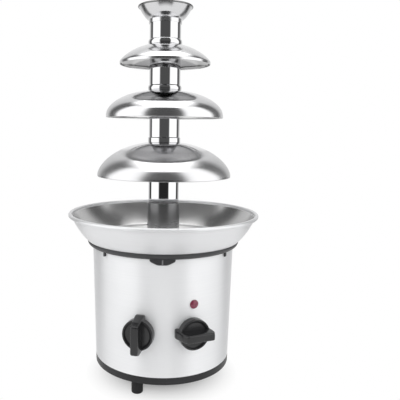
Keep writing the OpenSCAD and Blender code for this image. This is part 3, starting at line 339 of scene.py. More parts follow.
def turned_solid(profile, steps):
    """A solid of revolution: a [radius, height] profile that starts and ends on the z axis."""
    inner = profile[1:-1]
    rings = around_axis(inner[:, :1], inner[:, 1:], full_turn(steps))
    return poled(rings, [0.0, 0.0, profile[0, 1]], [0.0, 0.0, profile[-1, 1]])


def pillow(outline, half_width, softness, rows):
    """A plate with softly rounded edges. Its side view is a closed [along, out] outline that shrinks
    towards its middle, and its width runs across; both follow a superellipse of the given softness.
    half_width is the half width at a point, as a function of its [along, out] place."""
    tau = np.linspace(0.0, np.pi, rows + 2)[1:-1]
    power = 2.0 / softness
    shrink = np.sin(tau) ** power
    across = np.sign(np.cos(tau)) * np.abs(np.cos(tau)) ** power
    middle = (outline.min(axis=0) + outline.max(axis=0)) / 2.0
    side = middle + shrink[:, None, None] * (outline - middle)
    width = across[:, None] * half_width(side)
    rings = np.stack([width, side[..., 0], side[..., 1]], axis=-1)
    reach = float(half_width(middle[None])[0])
    return poled(rings, [reach, *middle], [-reach, *middle])


def pierced_shell(outer, inner, kept):
    """A thin closed shell from two grids of points that wrap round in their columns. Cells that aren't
    kept are holes, and walls join the two grids where a kept cell meets a hole or the rim."""
    rows, columns = outer.shape[:2]
    offset = rows * columns
    quads = wrapped_quads(rows, columns, False).reshape(rows - 1, columns, 4)
    faces = [quads[kept], quads[kept][:, ::-1] + offset]
    empty = np.zeros((1, columns), dtype=bool)
    neighbours = {
        (0, 1): joined(empty, kept[:-1]),
        (1, 2): np.roll(kept, -1, axis=1),
        (2, 3): joined(kept[1:], empty),
        (3, 0): np.roll(kept, 1, axis=1),
    }
    for (a, b), beside in neighbours.items():
        wall = quads[kept & ~beside]
        first, second = wall[:, a], wall[:, b]
        faces.append(np.stack([second, first, first + offset, second + offset], axis=-1))
    points = joined(outer.reshape(-1, 3), inner.reshape(-1, 3))
    used, renumbered = np.unique(joined(*faces), return_inverse=True)
    return {"points": points[used], "quads": renumbered.reshape(-1, 4)}


def rolled_sheet(path, thickness, roll, spare):
    """Closed outline of a sheet that ends in a roll: a path without its spare last points, the roll, and
    the path moved to its left. Also gives the number of the point where that inner side starts."""
    inner = path + thickness * left_normals(path)
    outer = joined(path[:-spare], roll)
    return joined(outer, inner[:-spare][::-1]), len(outer)


def moved(shape, rotation, offset):
    """The same shape, turned by a 3 by 3 matrix and then moved."""
    return {**shape, "points": shape["points"] @ rotation.T + offset}


def facing(turn, z, out):
    """Rotation and place of a frame that faces away from the axis: x across, y up and z out."""
    a = math.radians(turn)
    across = [math.cos(a), math.sin(a), 0.0]
    outward = [math.sin(a), -math.cos(a), 0.0]
    rotation = np.stack([across, [0.0, 0.0, 1.0], outward], axis=-1)
    return rotation, np.asarray(outward) * out + [0.0, 0.0, z]


def drum_r(z):
    """Outer radius of the tapered drum at a height."""
    return DRUM_BOTTOM_R + (DRUM_TOP_R - DRUM_BOTTOM_R) * (z - DRUM_Z) / DRUM_H


def linked(name, data):
    """A new object in the scene for a mesh, a lamp or a camera."""
    made = bpy.data.objects.new(name, data)
    bpy.context.scene.collection.objects.link(made)
    return made


def place(name, shape, body, finish, replaced=()):
    """Puts a shape into the scene in metres, with outward faces, on its body, and hides the solids it
    replaces.
    """
    points = shape["points"] * MM
    quads = shape["quads"]
    triangles = shape.get("triangles", np.zeros((0, 3), dtype=int))
    halves = joined(quads[:, :3], quads[:, [0, 2, 3]], triangles)
    corner = points[halves]
    volume = np.einsum("ij,ij->", corner[:, 0], np.cross(corner[:, 1], corner[:, 2]))
    uv = shape.get("map")
    if volume < 0.0:
        quads, triangles = quads[:, ::-1], triangles[:, ::-1]
        if uv is not None:
            uv = uv.reshape(-1, 4, 2)[:, ::-1].reshape(-1, 2)
    mesh = bpy.data.meshes.new(name)
    mesh.from_pydata(points.tolist(), [], quads.tolist() + triangles.tolist())
    if uv is not None:
        layer = mesh.uv_layers.new(name="surface")
        layer.data.foreach_set("uv", uv.astype(np.float32).ravel())
    mesh.polygons.foreach_set("use_smooth", np.ones(len(mesh.polygons), dtype=bool))
    mesh.set_sharp_from_angle(angle=math.radians(CREASE))
    mesh.update()
    mesh.materials.append(finish)
    piece = linked(name, mesh)
    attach(piece, body)
    if replaced:
        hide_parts(*replaced)


# Shader nodes; a helper that is given no tree works in the tree of the values it is given


def feed(made, inputs):
    """Links a node's inputs to other nodes' outputs, or sets them to plain values."""
    for name, value in inputs.items():
        if isinstance(value, bpy.types.NodeSocket):
            made.id_data.links.new(value, made.inputs[name])
        else:
            made.inputs[name].default_value = value


def node(tree, kind, inputs=None, **settings):
    """Adds a shader node, sets its options and feeds its inputs."""
    made = tree.nodes.new("ShaderNode" + kind)
    for name, value in settings.items():
        setattr(made, name, value)
    feed(made, inputs or {})
    return made


def maths(operation, *values):
    """The result of a math node on one, two or three numbers."""
    return node(values[0].id_data, "Math", dict(enumerate(values)), operation=operation).outputs[0]


def blended(share, first, second):
    """A number that runs from the first to the second as the share runs from 0 to 1."""
    inputs = {"Factor": share, "A": first, "B": second}
    return node(share.id_data, "Mix", inputs).outputs["Result"]


def tint(mask, dark, light):
    """A colour that runs from dark to light as the mask runs from 0 to 1. Each is three numbers or
    another node's colour."""
    ends = [end if isinstance(end, bpy.types.NodeSocket) else (*end, 1.0) for end in (dark, light)]
    inputs = {"Factor": mask, "A": ends[0], "B": ends[1]}
    return node(mask.id_data, "Mix", inputs, data_type="RGBA").outputs["Result"]


def ramp(value, start, end, ease="SMOOTHSTEP"):
    """A number that runs from 0 to 1 between two values, with soft ends unless ease is LINEAR."""
    inputs = {"Value": value, "From Min": start, "From Max": end}
    return node(value.id_data, "MapRange", inputs, interpolation_type=ease).outputs["Result"]


def bump(shader, height, strength, distance):
    """Lets a height pattern tilt the shader's normal."""
    inputs = {"Height": height, "Strength": strength, "Distance": distance}
    feed(shader, {"Normal": node(shader.id_data, "Bump", inputs).outputs["Normal"]})


def effect(name, numbers, output):
    """An empty shader node group that takes a place and named numbers and gives one number."""
    tree = bpy.data.node_groups.new(name, "ShaderNodeTree")
    tree.interface.new_socket("Object", in_out="INPUT", socket_type="NodeSocketVector")
    for label, value in numbers.items():
        socket = tree.interface.new_socket(label, in_out="INPUT", socket_type="NodeSocketFloat")
        socket.default_value = value
    tree.interface.new_socket(output, in_out="OUTPUT", socket_type="NodeSocketFloat")
    return tree, tree.nodes.new("NodeGroupInput").outputs, tree.nodes.new("NodeGroupOutput")


def spun_lines_effect():
    """Fine rings left by spinning: noise that changes fast along the profile and slowly round it."""
    tree, given, result = effect("spun lines", {"Along": 0.0, "Rings": 4000.0, "Drift": 12.0}, "Lines")
    drift_inputs = {0: given["Object"], "Scale": given["Drift"]}
    drift = node(tree, "VectorMath", drift_inputs, operation="SCALE").outputs[0]
    part = node(tree, "SeparateXYZ", {0: drift}).outputs
    rings = maths("MULTIPLY", given["Along"], given["Rings"])
    swirl = node(tree, "CombineXYZ", {"X": part["X"], "Y": part["Y"], "Z": rings}).outputs[0]
    noise = node(tree, "TexNoise", {"Vector": swirl, "Scale": 1.0, "Detail": 4.0})
    feed(result, {"Lines": noise.outputs["Fac"]})
    return tree


def smudges_effect():
    """Soft cloudy patches, as hands and cloths leave on metal: smooth noise with its contrast raised."""
    tree, given, result = effect("smudges", {"Size": 30.0}, "Mask")
    noise = node(tree, "TexNoise", {"Vector": given["Object"], "Scale": given["Size"], "Detail": 3.0})
    feed(result, {"Mask": ramp(noise.outputs["Fac"], 0.35, 0.7, "LINEAR")})
    return tree


def moulded_grain_effect():
    """The fine spark-eroded grain of a plastic mould: small cells broken up by noise."""
    tree, given, result = effect("moulded grain", {"Size": 1500.0}, "Height")
    cells = node(tree, "TexVoronoi", {"Vector": given["Object"], "Scale": given["Size"]})
    noise = node(tree, "TexNoise", {"Vector": given["Object"], "Scale": given["Size"], "Detail": 2.0})
    feed(result, {"Height": maths("ADD", cells.outputs["Distance"], noise.outputs["Fac"])})
    return tree


SPUN_LINES = spun_lines_effect()
SMUDGES = smudges_effect()
MOULDED_GRAIN = moulded_grain_effect()


def use(group, spots, **numbers):
    """Places an effect in a material, over the given coordinates, and gives its one output."""
    return node(spots.id_data, "Group", {"Object": spots, **numbers}, node_tree=group).outputs[0]


# Finishes

# How many smudges or grains fit in a metre of each kind of surface, and how deep its pattern is in metres
STEEL_SMUDGES = 22.0
PLASTIC_SMUDGES = 45.0
METAL_SMUDGES = 120.0
LENS_SMUDGES = 260.0
PLASTIC_GRAIN = 1500.0
LINE_DEPTH = 0.0002
GRAIN_DEPTH = 0.0001
LAYER_DEPTH = 0.0003


def finish(name):
    """A new material, its shader and the object coordinates that its patterns read."""
    material = bpy.data.materials.new(name)
    material.use_nodes = True
    tree = material.node_tree
    return material, tree.nodes["Principled BSDF"], node(tree, "TexCoord").outputs["Object"]


def lined_grey(rings, grey):
    """A grey that is up to a tenth darker or lighter along the ring lines."""
    return tint(rings, [0.9 * grey] * 3, [1.1 * grey] * 3)


def spun_steel(
    name, colours, rough, relief, lines=3500.0, streak=0.0, around=False, metal=1.0,
    crown=None, lip=None, dull=None,
):
    """Stainless steel finished on a spinning lathe: ring lines, soft smudges, and streaked highlights
    if asked, which run along the profile, or round the axis if around is true. metal is the share of
    light that is mirrored, not scattered. crown is where the polish becomes finer: two lengths along
    the profile and the roughness from there on. lip is the length from which the colour turns to a
    painted shade line along the rolled lip, and that line's grey. dull is the grey and the roughness
    of an unpolished inner side, which is all metal."""
    material, shader, spots = finish(name)
    tree = material.node_tree
    uv = node(tree, "UVMap", uv_map="surface").outputs["UV"]
    along = node(tree, "SeparateXYZ", {0: uv}).outputs["Y"]
    rings = use(SPUN_LINES, spots, Along=along, Rings=lines)
    mixed = maths("MULTIPLY", rings, use(SMUDGES, spots, Size=STEEL_SMUDGES))
    colour = tint(rings, *colours)
    gloss = blended(mixed, *rough)
    if crown:
        start, end, crown_rough = crown
        gloss = blended(ramp(along, start, end), gloss, crown_rough)
    # Painted shade: past the lip's length the colour falls to a flat dark grey that stands in for the shadow
    # under the rolled lip
    if lip:
        start, grey = lip
        colour = tint(maths("GREATER_THAN", along, start), colour, lined_grey(rings, grey))
    if dull:
        grey, inner_rough = dull
        inside = maths("LESS_THAN", along, 0.0)
        colour = tint(inside, colour, lined_grey(rings, grey))
        gloss = blended(inside, gloss, blended(mixed, 0.8 * inner_rough, 1.2 * inner_rough))
        if metal < 1.0:
            metal = blended(inside, metal, 1.0)
    feed(shader, {"Base Color": colour, "Roughness": gloss, "Metallic": metal})
    if streak:
        tangent = node(tree, "Tangent", direction_type="UV_MAP", uv_map="surface").outputs["Tangent"]
        quarter = 0.0 if around else 0.25
        feed(shader, {"Anisotropic": streak, "Anisotropic Rotation": quarter, "Tangent": tangent})
    bump(shader, rings, relief, LINE_DEPTH)
    return material


def mottled(shader, pattern, dark, light, rough):
    """Lets one pattern carry both the colour and the roughness."""
    feed(shader, {"Base Color": tint(pattern, dark, light), "Roughness": blended(pattern, *rough)})


def grained(name, colours, rough, smudges, grain, relief, fixed):
    """A finish whose smudges carry the colour and the roughness, over a fine grain. fixed is what the
    shader has the same all over."""
    material, shader, spots = finish(name)
    mottled(shader, use(SMUDGES, spots, Size=smudges), *colours, rough)
    feed(shader, fixed)
    bump(shader, use(MOULDED_GRAIN, spots, Size=grain), relief, GRAIN_DEPTH)
    return material


def moulded(name, dark, light, rough, relief=0.12, shine=0.5):
    """Moulded plastic or rubber: fine grain, and a colour that varies a little from place to place.
    shine is the strength of its surface reflection, 0.5 for a bare smooth plastic."""
    fixed = {"Specular IOR Level": shine}
    return grained(name, (dark, light), rough, PLASTIC_SMUDGES, PLASTIC_GRAIN, relief, fixed)


def plain_metal(name, dark, light, rough, grain=900.0, relief=0.1):
    """Plated, cast or sintered metal: mottled colour over a fine grain."""
    return grained(name, (dark, light), rough, METAL_SMUDGES, grain, relief, {"Metallic": 1.0})


def layered_metal(name, dark, light, rough, step, axis):
    """Metal in fine layers, such as laminations or a winding: a band to about every step along an axis."""
    material, shader, spots = finish(name)
    inputs = {"Vector": spots, "Scale": 1.0 / step / 3.0, "Distortion": 0.6, "Detail": 1.0}
    bands = node(spots.id_data, "TexWave", inputs, bands_direction=axis).outputs["Fac"]
    mottled(shader, bands, dark, light, rough)
    feed(shader, {"Metallic": 1.0})
    bump(shader, bands, 0.5, LAYER_DEPTH)
    return material


def lens_finish():
    """Clear dark red plastic: a cloudy colour under a smooth coat."""
    material, shader, spots = finish("lamp red")
    marks = use(SMUDGES, spots, Size=LENS_SMUDGES)
    mottled(shader, marks, (0.115, 0.010, 0.030), (0.20, 0.026, 0.058), (0.18, 0.3))
    feed(shader, {"Coat Weight": 0.6, "Coat Roughness": 0.08})
    return material


# Dark and light colours of steel, and the crown and the lip that spun_steel takes; the cup's lip is a
# painted shade line
POLISHED = ((0.66, 0.66, 0.67), (0.72, 0.72, 0.73))
BOWL_COLOURS = ((0.655, 0.658, 0.668), (0.745, 0.748, 0.758))
SOCKET_COLOURS = ((0.29, 0.29, 0.295), (0.37, 0.37, 0.375))
DRUM_COLOURS = ((0.73, 0.735, 0.745), (0.81, 0.815, 0.825))
DOME_CROWN = (0.042, 0.052, 0.05)
CUP_LIP_SHADE = (0.0235, 0.20)


def dome_steel(name, rough, under):
    """A dome's steel: polished outside, finer towards its crown, with an inner side of its own."""
    return spun_steel(name, POLISHED, rough, 0.008, streak=0.9, around=True, crown=DOME_CROWN, dull=under)


TUBE_STEEL = spun_steel("mirror-polished tube steel", POLISHED, (0.03, 0.09), 0.004)
CUP_STEEL = spun_steel(
    "polished cup steel", POLISHED, (0.12, 0.17), 0.006, streak=0.9, around=True, lip=CUP_LIP_SHADE,
    dull=(0.55, 0.10),
)
DOME_STEELS = {
    "large_dome": dome_steel("large dome steel", (0.18, 0.23), (0.85, 0.40)),
    "medium_dome": dome_steel("medium dome steel", (0.13, 0.17), (0.75, 0.25)),
    "small_dome": dome_steel("small dome steel", (0.13, 0.17), (0.58, 0.10)),
}
BOWL_STEEL = spun_steel(
    "satin bowl steel", BOWL_COLOURS, (0.40, 0.50), 0.03, streak=0.6, metal=0.6, dull=(0.57, 0.25)
)
SOCKET_STEEL = spun_steel("satin socket steel", SOCKET_COLOURS, (0.26, 0.36), 0.03, streak=0.5)
DRUM_STEEL = spun_steel(
    "brushed drum steel", DRUM_COLOURS, (0.50, 0.60), 0.015, lines=2500.0, streak=0.95, metal=0.45
)
COLLAR_PLASTIC = moulded("collar plastic", (0.020, 0.0205, 0.022), (0.030, 0.0305, 0.033), (0.40, 0.52))
BASE_PLASTIC = moulded(
    "base plastic", (0.012, 0.012, 0.013), (0.020, 0.020, 0.022), (0.38, 0.50), shine=0.3
)
# Painted highlight: the lug's rib is a far lighter grey than the collar's plastic, standing in for the light
# a rounded rib catches
RIB_HIGHLIGHT_PLASTIC = moulded("rib plastic with painted highlight", (0.13, 0.13, 0.135), (0.20, 0.20, 0.205), (0.30, 0.42))
KNOB_PLASTIC = moulded(
    "knob plastic", (0.008, 0.008, 0.0085), (0.015, 0.015, 0.016), (0.16, 0.25), relief=0.05
)
FOOT_RUBBER = moulded(
    "foot rubber", (0.009, 0.009, 0.010), (0.016, 0.016, 0.017), (0.55, 0.75), relief=0.2, shine=0.25
)
LAMP_RED = lens_finish()

# Finishes of the solids that stay as they are, by the record's slots.
# A metal is its name, dark and light colour and roughness, and its grain and relief where it is coarse.
INNER_METALS = {
    "polished_steel": ("inner polished steel", (0.74, 0.75, 0.76), (0.84, 0.85, 0.86), (0.08, 0.16)),
    "satin_steel": ("inner satin steel", (0.60, 0.60, 0.61), (0.72, 0.72, 0.73), (0.28, 0.40)),
    "auger_steel": ("drive steel", (0.50, 0.50, 0.51), (0.62, 0.62, 0.63), (0.22, 0.34)),
    "plain_steel": ("zinc-plated steel", (0.52, 0.53, 0.56), (0.68, 0.69, 0.71), (0.25, 0.42)),
    "heater_steel": ("heater sheath", (0.16, 0.14, 0.13), (0.34, 0.33, 0.33), (0.40, 0.6)),
    "cast_aluminium": ("cast aluminium", (0.44, 0.45, 0.46), (0.58, 0.59, 0.60), (0.42, 0.6), 500.0, 0.3),
    "bearing_bronze": ("sintered bronze", (0.42, 0.28, 0.12), (0.60, 0.43, 0.20), (0.35, 0.5), 1400.0, 0.2),
}
LAYER_STEP = 0.0005
INNER_FINISHES = {slot: plain_metal(*metal) for slot, metal in INNER_METALS.items()}
INNER_FINISHES.update(
    lamination_steel=layered_metal(
        "laminations", (0.16, 0.16, 0.17), (0.34, 0.34, 0.36), (0.35, 0.5), LAYER_STEP, "Z"
    ),
    coil_wire=layered_metal(
        "enamelled wire", (0.30, 0.10, 0.04), (0.62, 0.26, 0.12), (0.22, 0.35), LAYER_STEP, "X"
    ),
    gear_plastic=moulded("gear plastic", (0.62, 0.59, 0.48), (0.72, 0.69, 0.58), (0.42, 0.55)),
    switch_plastic=moulded("switch plastic", (0.60, 0.57, 0.48), (0.70, 0.67, 0.58), (0.45, 0.6)),
    seal_rubber=moulded("silicone", (0.30, 0.05, 0.03), (0.40, 0.08, 0.05), (0.45, 0.6)),
    black_plastic=BASE_PLASTIC,
    knob_plastic=KNOB_PLASTIC,
    collar_plastic=COLLAR_PLASTIC,
    foot_rubber=FOOT_RUBBER,
    red_lens=LAMP_RED,
)
for part in frame["record"]["subparts"]:
    solid = frame["nodes"][part["node"]]
    solid.data.materials.clear()
    solid.data.materials.append(INNER_FINISHES[part["material_slot"]])


# Drum and feet


def drum_shell():
    """The tapered drum: a cone's outer and inner faces on one grid, open where fittings pass through."""
    rows, columns = 100, 480
    z = np.linspace(DRUM_Z, DRUM_Z + DRUM_H - SEAT, rows)[:, None]
    turn = full_turn(columns)
    middle_turn = turn + np.pi / columns
    middle_z = z[:-1] + (z[1] - z[0]) / 2.0
    kept = np.ones((rows - 1, columns), dtype=bool)
    for hole_turn, hole_z, radius in DRUM_HOLES:
        away = (middle_turn - math.radians(hole_turn - 90.0) + np.pi) % (2.0 * np.pi) - np.pi
        kept &= np.hypot(away * drum_r(hole_z), middle_z - hole_z) > radius
    outer, inner = (around_axis(drum_r(z) - inset, z, turn) for inset in (0.0, DRUM_T))
    return pierced_shell(outer, inner, kept)


def with_height_map(shape):
    """Adds a map of turns round the axis and metres of height, for a shape of upright sheets."""
    corners = shape["points"][shape["quads"]]
    turn = np.arctan2(corners[..., 1], corners[..., 0]) / (2.0 * np.pi)
    turn -= np.round(turn - turn[:, :1])
    return {**shape, "map": np.stack([turn, corners[..., 2] * MM], axis=-1).reshape(-1, 2)}


place("drum", with_height_map(drum_shell()), "base", DRUM_STEEL, ["housing_drum"])

foot_profile = joined(
    [[0.0, 0.0]],
    line([0.5, 0.0], [FOOT_R - FOOT_EDGE, 0.0], 3),
    arc([FOOT_R - FOOT_EDGE, FOOT_EDGE], FOOT_EDGE, -80, 0, 7),
    [[FOOT_R, FOOT_H - 2.0 * FOOT_TOP_EDGE]],
    arc([FOOT_R - FOOT_TOP_EDGE, FOOT_H - FOOT_TOP_EDGE - SEAT], FOOT_TOP_EDGE, 0, 90, 4),
    [[0.0, FOOT_H - SEAT]],
)
stud_profile = joined(
    [[0.0, STUD_Z], [STUD_R - 0.4, STUD_Z], [STUD_R, STUD_Z + 0.5]],
    [[STUD_R, STUD_TOP - 0.6], [STUD_R - 0.6, STUD_TOP], [0.0, STUD_TOP]],
)
for foot_name, foot_turn in FOOT_TURNS.items():
    angle = math.radians(foot_turn)
    stand = [FOOT_RING_R * math.cos(angle), FOOT_RING_R * math.sin(angle), 0.0]
    pad = moved(turned_solid(foot_profile, 64), np.eye(3), stand)
    stud = moved(turned_solid(stud_profile, 40), np.eye(3), stand)
    place(foot_name + "_pad", pad, foot_name, FOOT_RUBBER, [foot_name])
    place(foot_name + "_stud", stud, foot_name, INNER_FINISHES["plain_steel"])


# Collar


def collar_outline():
    """The collar: a skirt inside the drum and an outer face that swells as a quarter of an ellipse."""
    a = np.radians(np.linspace(0.0, 90.0, 13))
    swell_r = COLLAR_BOTTOM_R + (COLLAR_TOP_R - COLLAR_BOTTOM_R) * np.sin(a)
    swell = np.stack([swell_r, COLLAR_TOP - (COLLAR_TOP - COLLAR_Z) * np.cos(a)], axis=-1)
    skirt_low = COLLAR_Z - SKIRT_H
    skirt = [[SKIRT_R - SKIRT_T, skirt_low], [SKIRT_R, skirt_low], [SKIRT_R, COLLAR_Z]]
    seat = [[COLLAR_TOP_R - COLLAR_LEDGE, BOWL_UNDER - 2.0 * SEAT], [SKIRT_R - SKIRT_T, BOWL_UNDER - SEAT]]
    return rounded(joined(skirt, swell, seat), 0.5)


collar = turned_ring(collar_outline(), 240)
place("collar", collar, "base", COLLAR_PLASTIC, ["collar_ring"])


def bent_on_drum(shape, turn, radius):
    """Bends a flat plate round the drum: its second coordinate runs round, its third up, its first out."""
    out, along, up = shape["points"].T
    angle = math.radians(turn - 90.0) + along / radius
    return {**shape, "points": around_axis(radius + out, up, angle)}


def collar_patch(name, outline, turn, thickness, plastic):
    """A small plate that hangs from the collar in front of the drum, made from its front outline."""

    def half_width(side):
        """Half the thickness, the same all over."""
        return np.full(side.shape[:-1], thickness / 2.0)

    plate = pillow(resampled(outline, 72), half_width, 6.0, 18)
    bent = bent_on_drum(plate, turn, DRUM_TOP_R + PATCH_GAP + thickness / 2.0)
    place(name, bent, "base", plastic)


lug_side, lug_tip = COLLAR_Z - LUG_SIDE_H, COLLAR_Z - LUG_H
lug_corners = [
    [LUG_HALF_W, lug_side],
    [LUG_TIP_HALF_W, lug_tip],
    [-LUG_TIP_HALF_W, lug_tip],
    [-LUG_HALF_W, lug_side],
    [-LUG_HALF_W, PATCH_TOP],
    [LUG_HALF_W, PATCH_TOP],
]
collar_patch("collar_lug", rounded(lug_corners, 2.4, 7), LUG_TURN, PATCH_T, COLLAR_PLASTIC)
# The rib down the lug's middle takes the lighter plastic, a painted highlight
rib = rounded(rectangle(-RIB_HALF_W, RIB_HALF_W, COLLAR_Z - RIB_H, COLLAR_Z), 0.4)
collar_patch("collar_lug_rib", rib, LUG_TURN, RIB_T, RIB_HIGHLIGHT_PLASTIC)
hook_corners = [
    [-HOOK_HALF_W, COLLAR_Z - HOOK_LONG_H],
    [HOOK_HALF_W, COLLAR_Z - HOOK_SHORT_H],
    [HOOK_HALF_W, PATCH_TOP],
    [-HOOK_HALF_W, PATCH_TOP],
]
hook = rounded(hook_corners, 0.6)
for side_name, hook_turn in HOOK_TURNS.items():
    collar_patch("collar_hook_" + side_name, hook, hook_turn, PATCH_T, COLLAR_PLASTIC)


# Bowl and socket


def bowl_outline():
    """The bowl's sheet: flat floor, small fillet, wall that swells as a parabola, and a rolled rim."""
    inside_roll = np.array([BOWL_RIM_R - 1.7 * ROLL_R, BOWL_RIM_Z - 1.5 * ROLL_R])
    run = inside_roll - BOWL_FOOT
    length = np.linalg.norm(run)
    out = np.array([run[1], -run[0]]) / length
    start = math.atan2(run[1], run[0]) - math.atan(4.0 * BOWL_SWELL / length)
    fillet = (BOWL_FOOT[1] - BOWL_UNDER) / (1.0 - math.cos(start))
    flat_end = BOWL_FOOT[0] - fillet * math.sin(start)
    t = np.linspace(0.0, 1.0, 48)[1:, None]
    wall = BOWL_FOOT + t * run + 4.0 * t * (1.0 - t) * BOWL_SWELL * out
    floor = line([BOWL_HOLE_R, BOWL_UNDER], [flat_end - 0.5, BOWL_UNDER], 40)
    bend = arc([flat_end, BOWL_UNDER + fillet], fillet, -90, math.degrees(start) - 90, 14)
    path = joined(floor, bend, wall)
    roll = arc([BOWL_RIM_R - ROLL_R, BOWL_RIM_Z - ROLL_R], ROLL_R, -140, 190, 40)
    return rolled_sheet(path, BOWL_T, roll, 1)


bowl_sheet, bowl_inside = bowl_outline()
bowl = turned_ring(bowl_sheet, 288, bowl_inside)
place("bowl_shell", bowl, "base", BOWL_STEEL, ["bowl"])


def socket_shell():
    """The tower's socket: a tube with a rounded lip, and four arches at its foot."""
    arch_rows, columns = 12, 360
    low = np.linspace(BOWL_UNDER + BOWL_T + SEAT, ARCH_TOP, arch_rows)
    high = np.linspace(ARCH_TOP, SOCKET_TOP - 1.0, 60)[1:]
    z = joined(low, high)
    lip = arc([SOCKET_R - 0.45, SOCKET_TOP - 0.5], 0.5, 0, 90, 6)
    outer = joined(np.stack([np.full_like(z, SOCKET_R), z], axis=-1), lip)
    inner = outer.copy()
    inner[:, 0] = SOCKET_BORE_R
    turn = full_turn(columns)
    middle = turn + np.pi / columns
    from_pillar = np.abs((middle - np.radians(45.0)) % (np.pi / 2.0) - np.pi / 4.0)
    kept = np.ones((len(outer) - 1, columns), dtype=bool)
    kept[: arch_rows - 1] = np.pi / 4.0 - from_pillar > math.asin(ARCH_HALF_W / SOCKET_R)
    sides = [around_axis(side[:, :1], side[:, 1:], turn) for side in (outer, inner)]
    return pierced_shell(*sides, kept)


place("socket", with_height_map(socket_shell()), "base", SOCKET_STEEL, ["tower_socket"])
ledge_outline = rounded(rectangle(LEDGE_BORE_R, LEDGE_R, LEDGE_Z, LEDGE_TOP), 0.3)
place("socket_ledge", turned_ring(ledge_outline, 120), "base", SOCKET_STEEL)
pin_profile = np.array([[0.0, 0.0], [PIN_R, 0.0], [PIN_R, PIN_L - 0.4], [PIN_R - 0.3, PIN_L], [0.0, PIN_L]])
pin = moved(turned_solid(pin_profile, 24), *facing(PIN_TURN, PIN_Z, SOCKET_R - 0.4))
place("socket_pin", pin, "base", INNER_FINISHES["auger_steel"])


# Tower


def crown_rise(dome, r):
    """Height of a dome's curve above its edge: a lip, then a superellipse in radius and height."""
    _, edge_r, lip, height, across, up = dome
    return lip + height * (1.0 - (r / edge_r) ** across) ** (1.0 / up)


def dome_outline(dome):
    """A dome's sheet from its edge up the lip and over the crown to the tube."""
    z, edge_r = dome[:2]
    r = NECK_R + (edge_r - NECK_R) * np.cos(np.radians(np.linspace(0.0, 90.0, 90)))
    curve = np.stack([r, z + crown_rise(dome, r)], axis=-1)
    lip = line([edge_r, z], [edge_r, z + dome[2]], 6)[:-1]
    return sheet(joined(lip, curve), DOME_T)


def mouth_tube(bottom, top, swell):
    """A tube with a widened mouth at its lower end; swell rounds the mouth out as half a sine wave."""
    mouth_top = bottom + MOUTH_H - SHOULDER_H
    k = np.linspace(0.0, 1.0, 16)
    mouth_r = MOUTH_R + swell * np.sin(np.pi * k)
    mouth = np.stack([mouth_r, bottom + (mouth_top - bottom) * k], axis=-1)
    ease = np.linspace(0.0, 1.0, 10)[1:]
    fall = mouth_r[-1] + (TUBE_R - mouth_r[-1]) * (3.0 * ease**2 - 2.0 * ease**3)
    shoulder = np.stack([fall, mouth_top + SHOULDER_H * ease], axis=-1)
    bore = [[TUBE_BORE_R, top - TUBE_EDGE], [TUBE_BORE_R, bottom + MOUTH_H]]
    mouth_bore = [[MOUTH_BORE_R, mouth_top], [MOUTH_BORE_R, bottom + 0.2]]
    return joined(
        mouth,
        shoulder,
        line([TUBE_R, bottom + MOUTH_H + 0.4], [TUBE_R, top - TUBE_EDGE], 30),
        arc([TUBE_R - TUBE_EDGE, top - TUBE_EDGE], TUBE_EDGE, 15, 90, 4),
        bore,
        mouth_bore,
    )


for dome_name, body in DOME_BODIES.items():
    outline = dome_outline(DOMES[dome_name])
    dome_ring = turned_ring(outline, 256, len(outline) // 2)
    place(dome_name + "_shell", dome_ring, body, DOME_STEELS[dome_name], [dome_name])

# Each tube stands on the dome below and reaches into the mouth of the tube above
on_large, on_medium, on_small = [dome[0] + crown_rise(dome, NECK_R) + SEAT for dome in DOMES.values()]
flare_z = CROWN_Z - LIP_R - FLARE_H
lower_tube = rounded(rectangle(TUBE_BORE_R, TUBE_R, TOWER_FOOT, on_large + SPIGOT_H), 0.35)
tubes = {
    "lower_tube": ("tower", lower_tube),
    "middle_tube": ("medium_tier", mouth_tube(on_large, on_medium + SPIGOT_H, 0.0)),
    "upper_tube": ("small_tier", mouth_tube(on_medium, on_small + SPIGOT_H, 0.5)),
    "crown_tube": ("crown", mouth_tube(on_small, flare_z, 0.5)),
}
for tube_name, (body, outline) in tubes.items():
    tube = turned_ring(outline, 192)
    place(tube_name + "_shell", tube, body, TUBE_STEEL, [tube_name])


def cup_outline():
    """The crown cup's sheet: a short sleeve, a flare that rises as a power of its width, a rolled lip."""
    start, end = CUP_SLEEVE_R, CROWN_R - LIP_R
    t = np.linspace(0.0, 1.0, 60)[:, None]
    flare = np.concatenate([start + (end - start) * t, flare_z + FLARE_H * t**FLARE_POWER], axis=1)
    path = joined(line([start, flare_z - SLEEVE_H], [start, flare_z - 0.3], 10), flare)
    lip = arc([end, CROWN_Z - LIP_R], LIP_R, -100, 190, 24)
    return rolled_sheet(path, CUP_T, lip, 2)


cup_sheet, cup_inside = cup_outline()
cup = turned_ring(cup_sheet, 192, cup_inside)
place("cup", cup, "crown", CUP_STEEL, ["crown_cup"])


# Auger

core_profile = joined(
    [[0.0, CORE_FOOT], [CORE_R - 0.4, CORE_FOOT], [CORE_R, CORE_FOOT + 0.4]],
    line([CORE_R, CORE_FOOT + 2.4], [CORE_R, AUGER_TOP - NOSE_R - 0.2], 60),
    arc([CORE_R - NOSE_R, AUGER_TOP - NOSE_R], NOSE_R, 0, 84, 12),
    line([CORE_R - NOSE_R - 0.2, AUGER_TOP], [0.4, AUGER_TOP], 6),
    [[0.0, AUGER_TOP]],
)


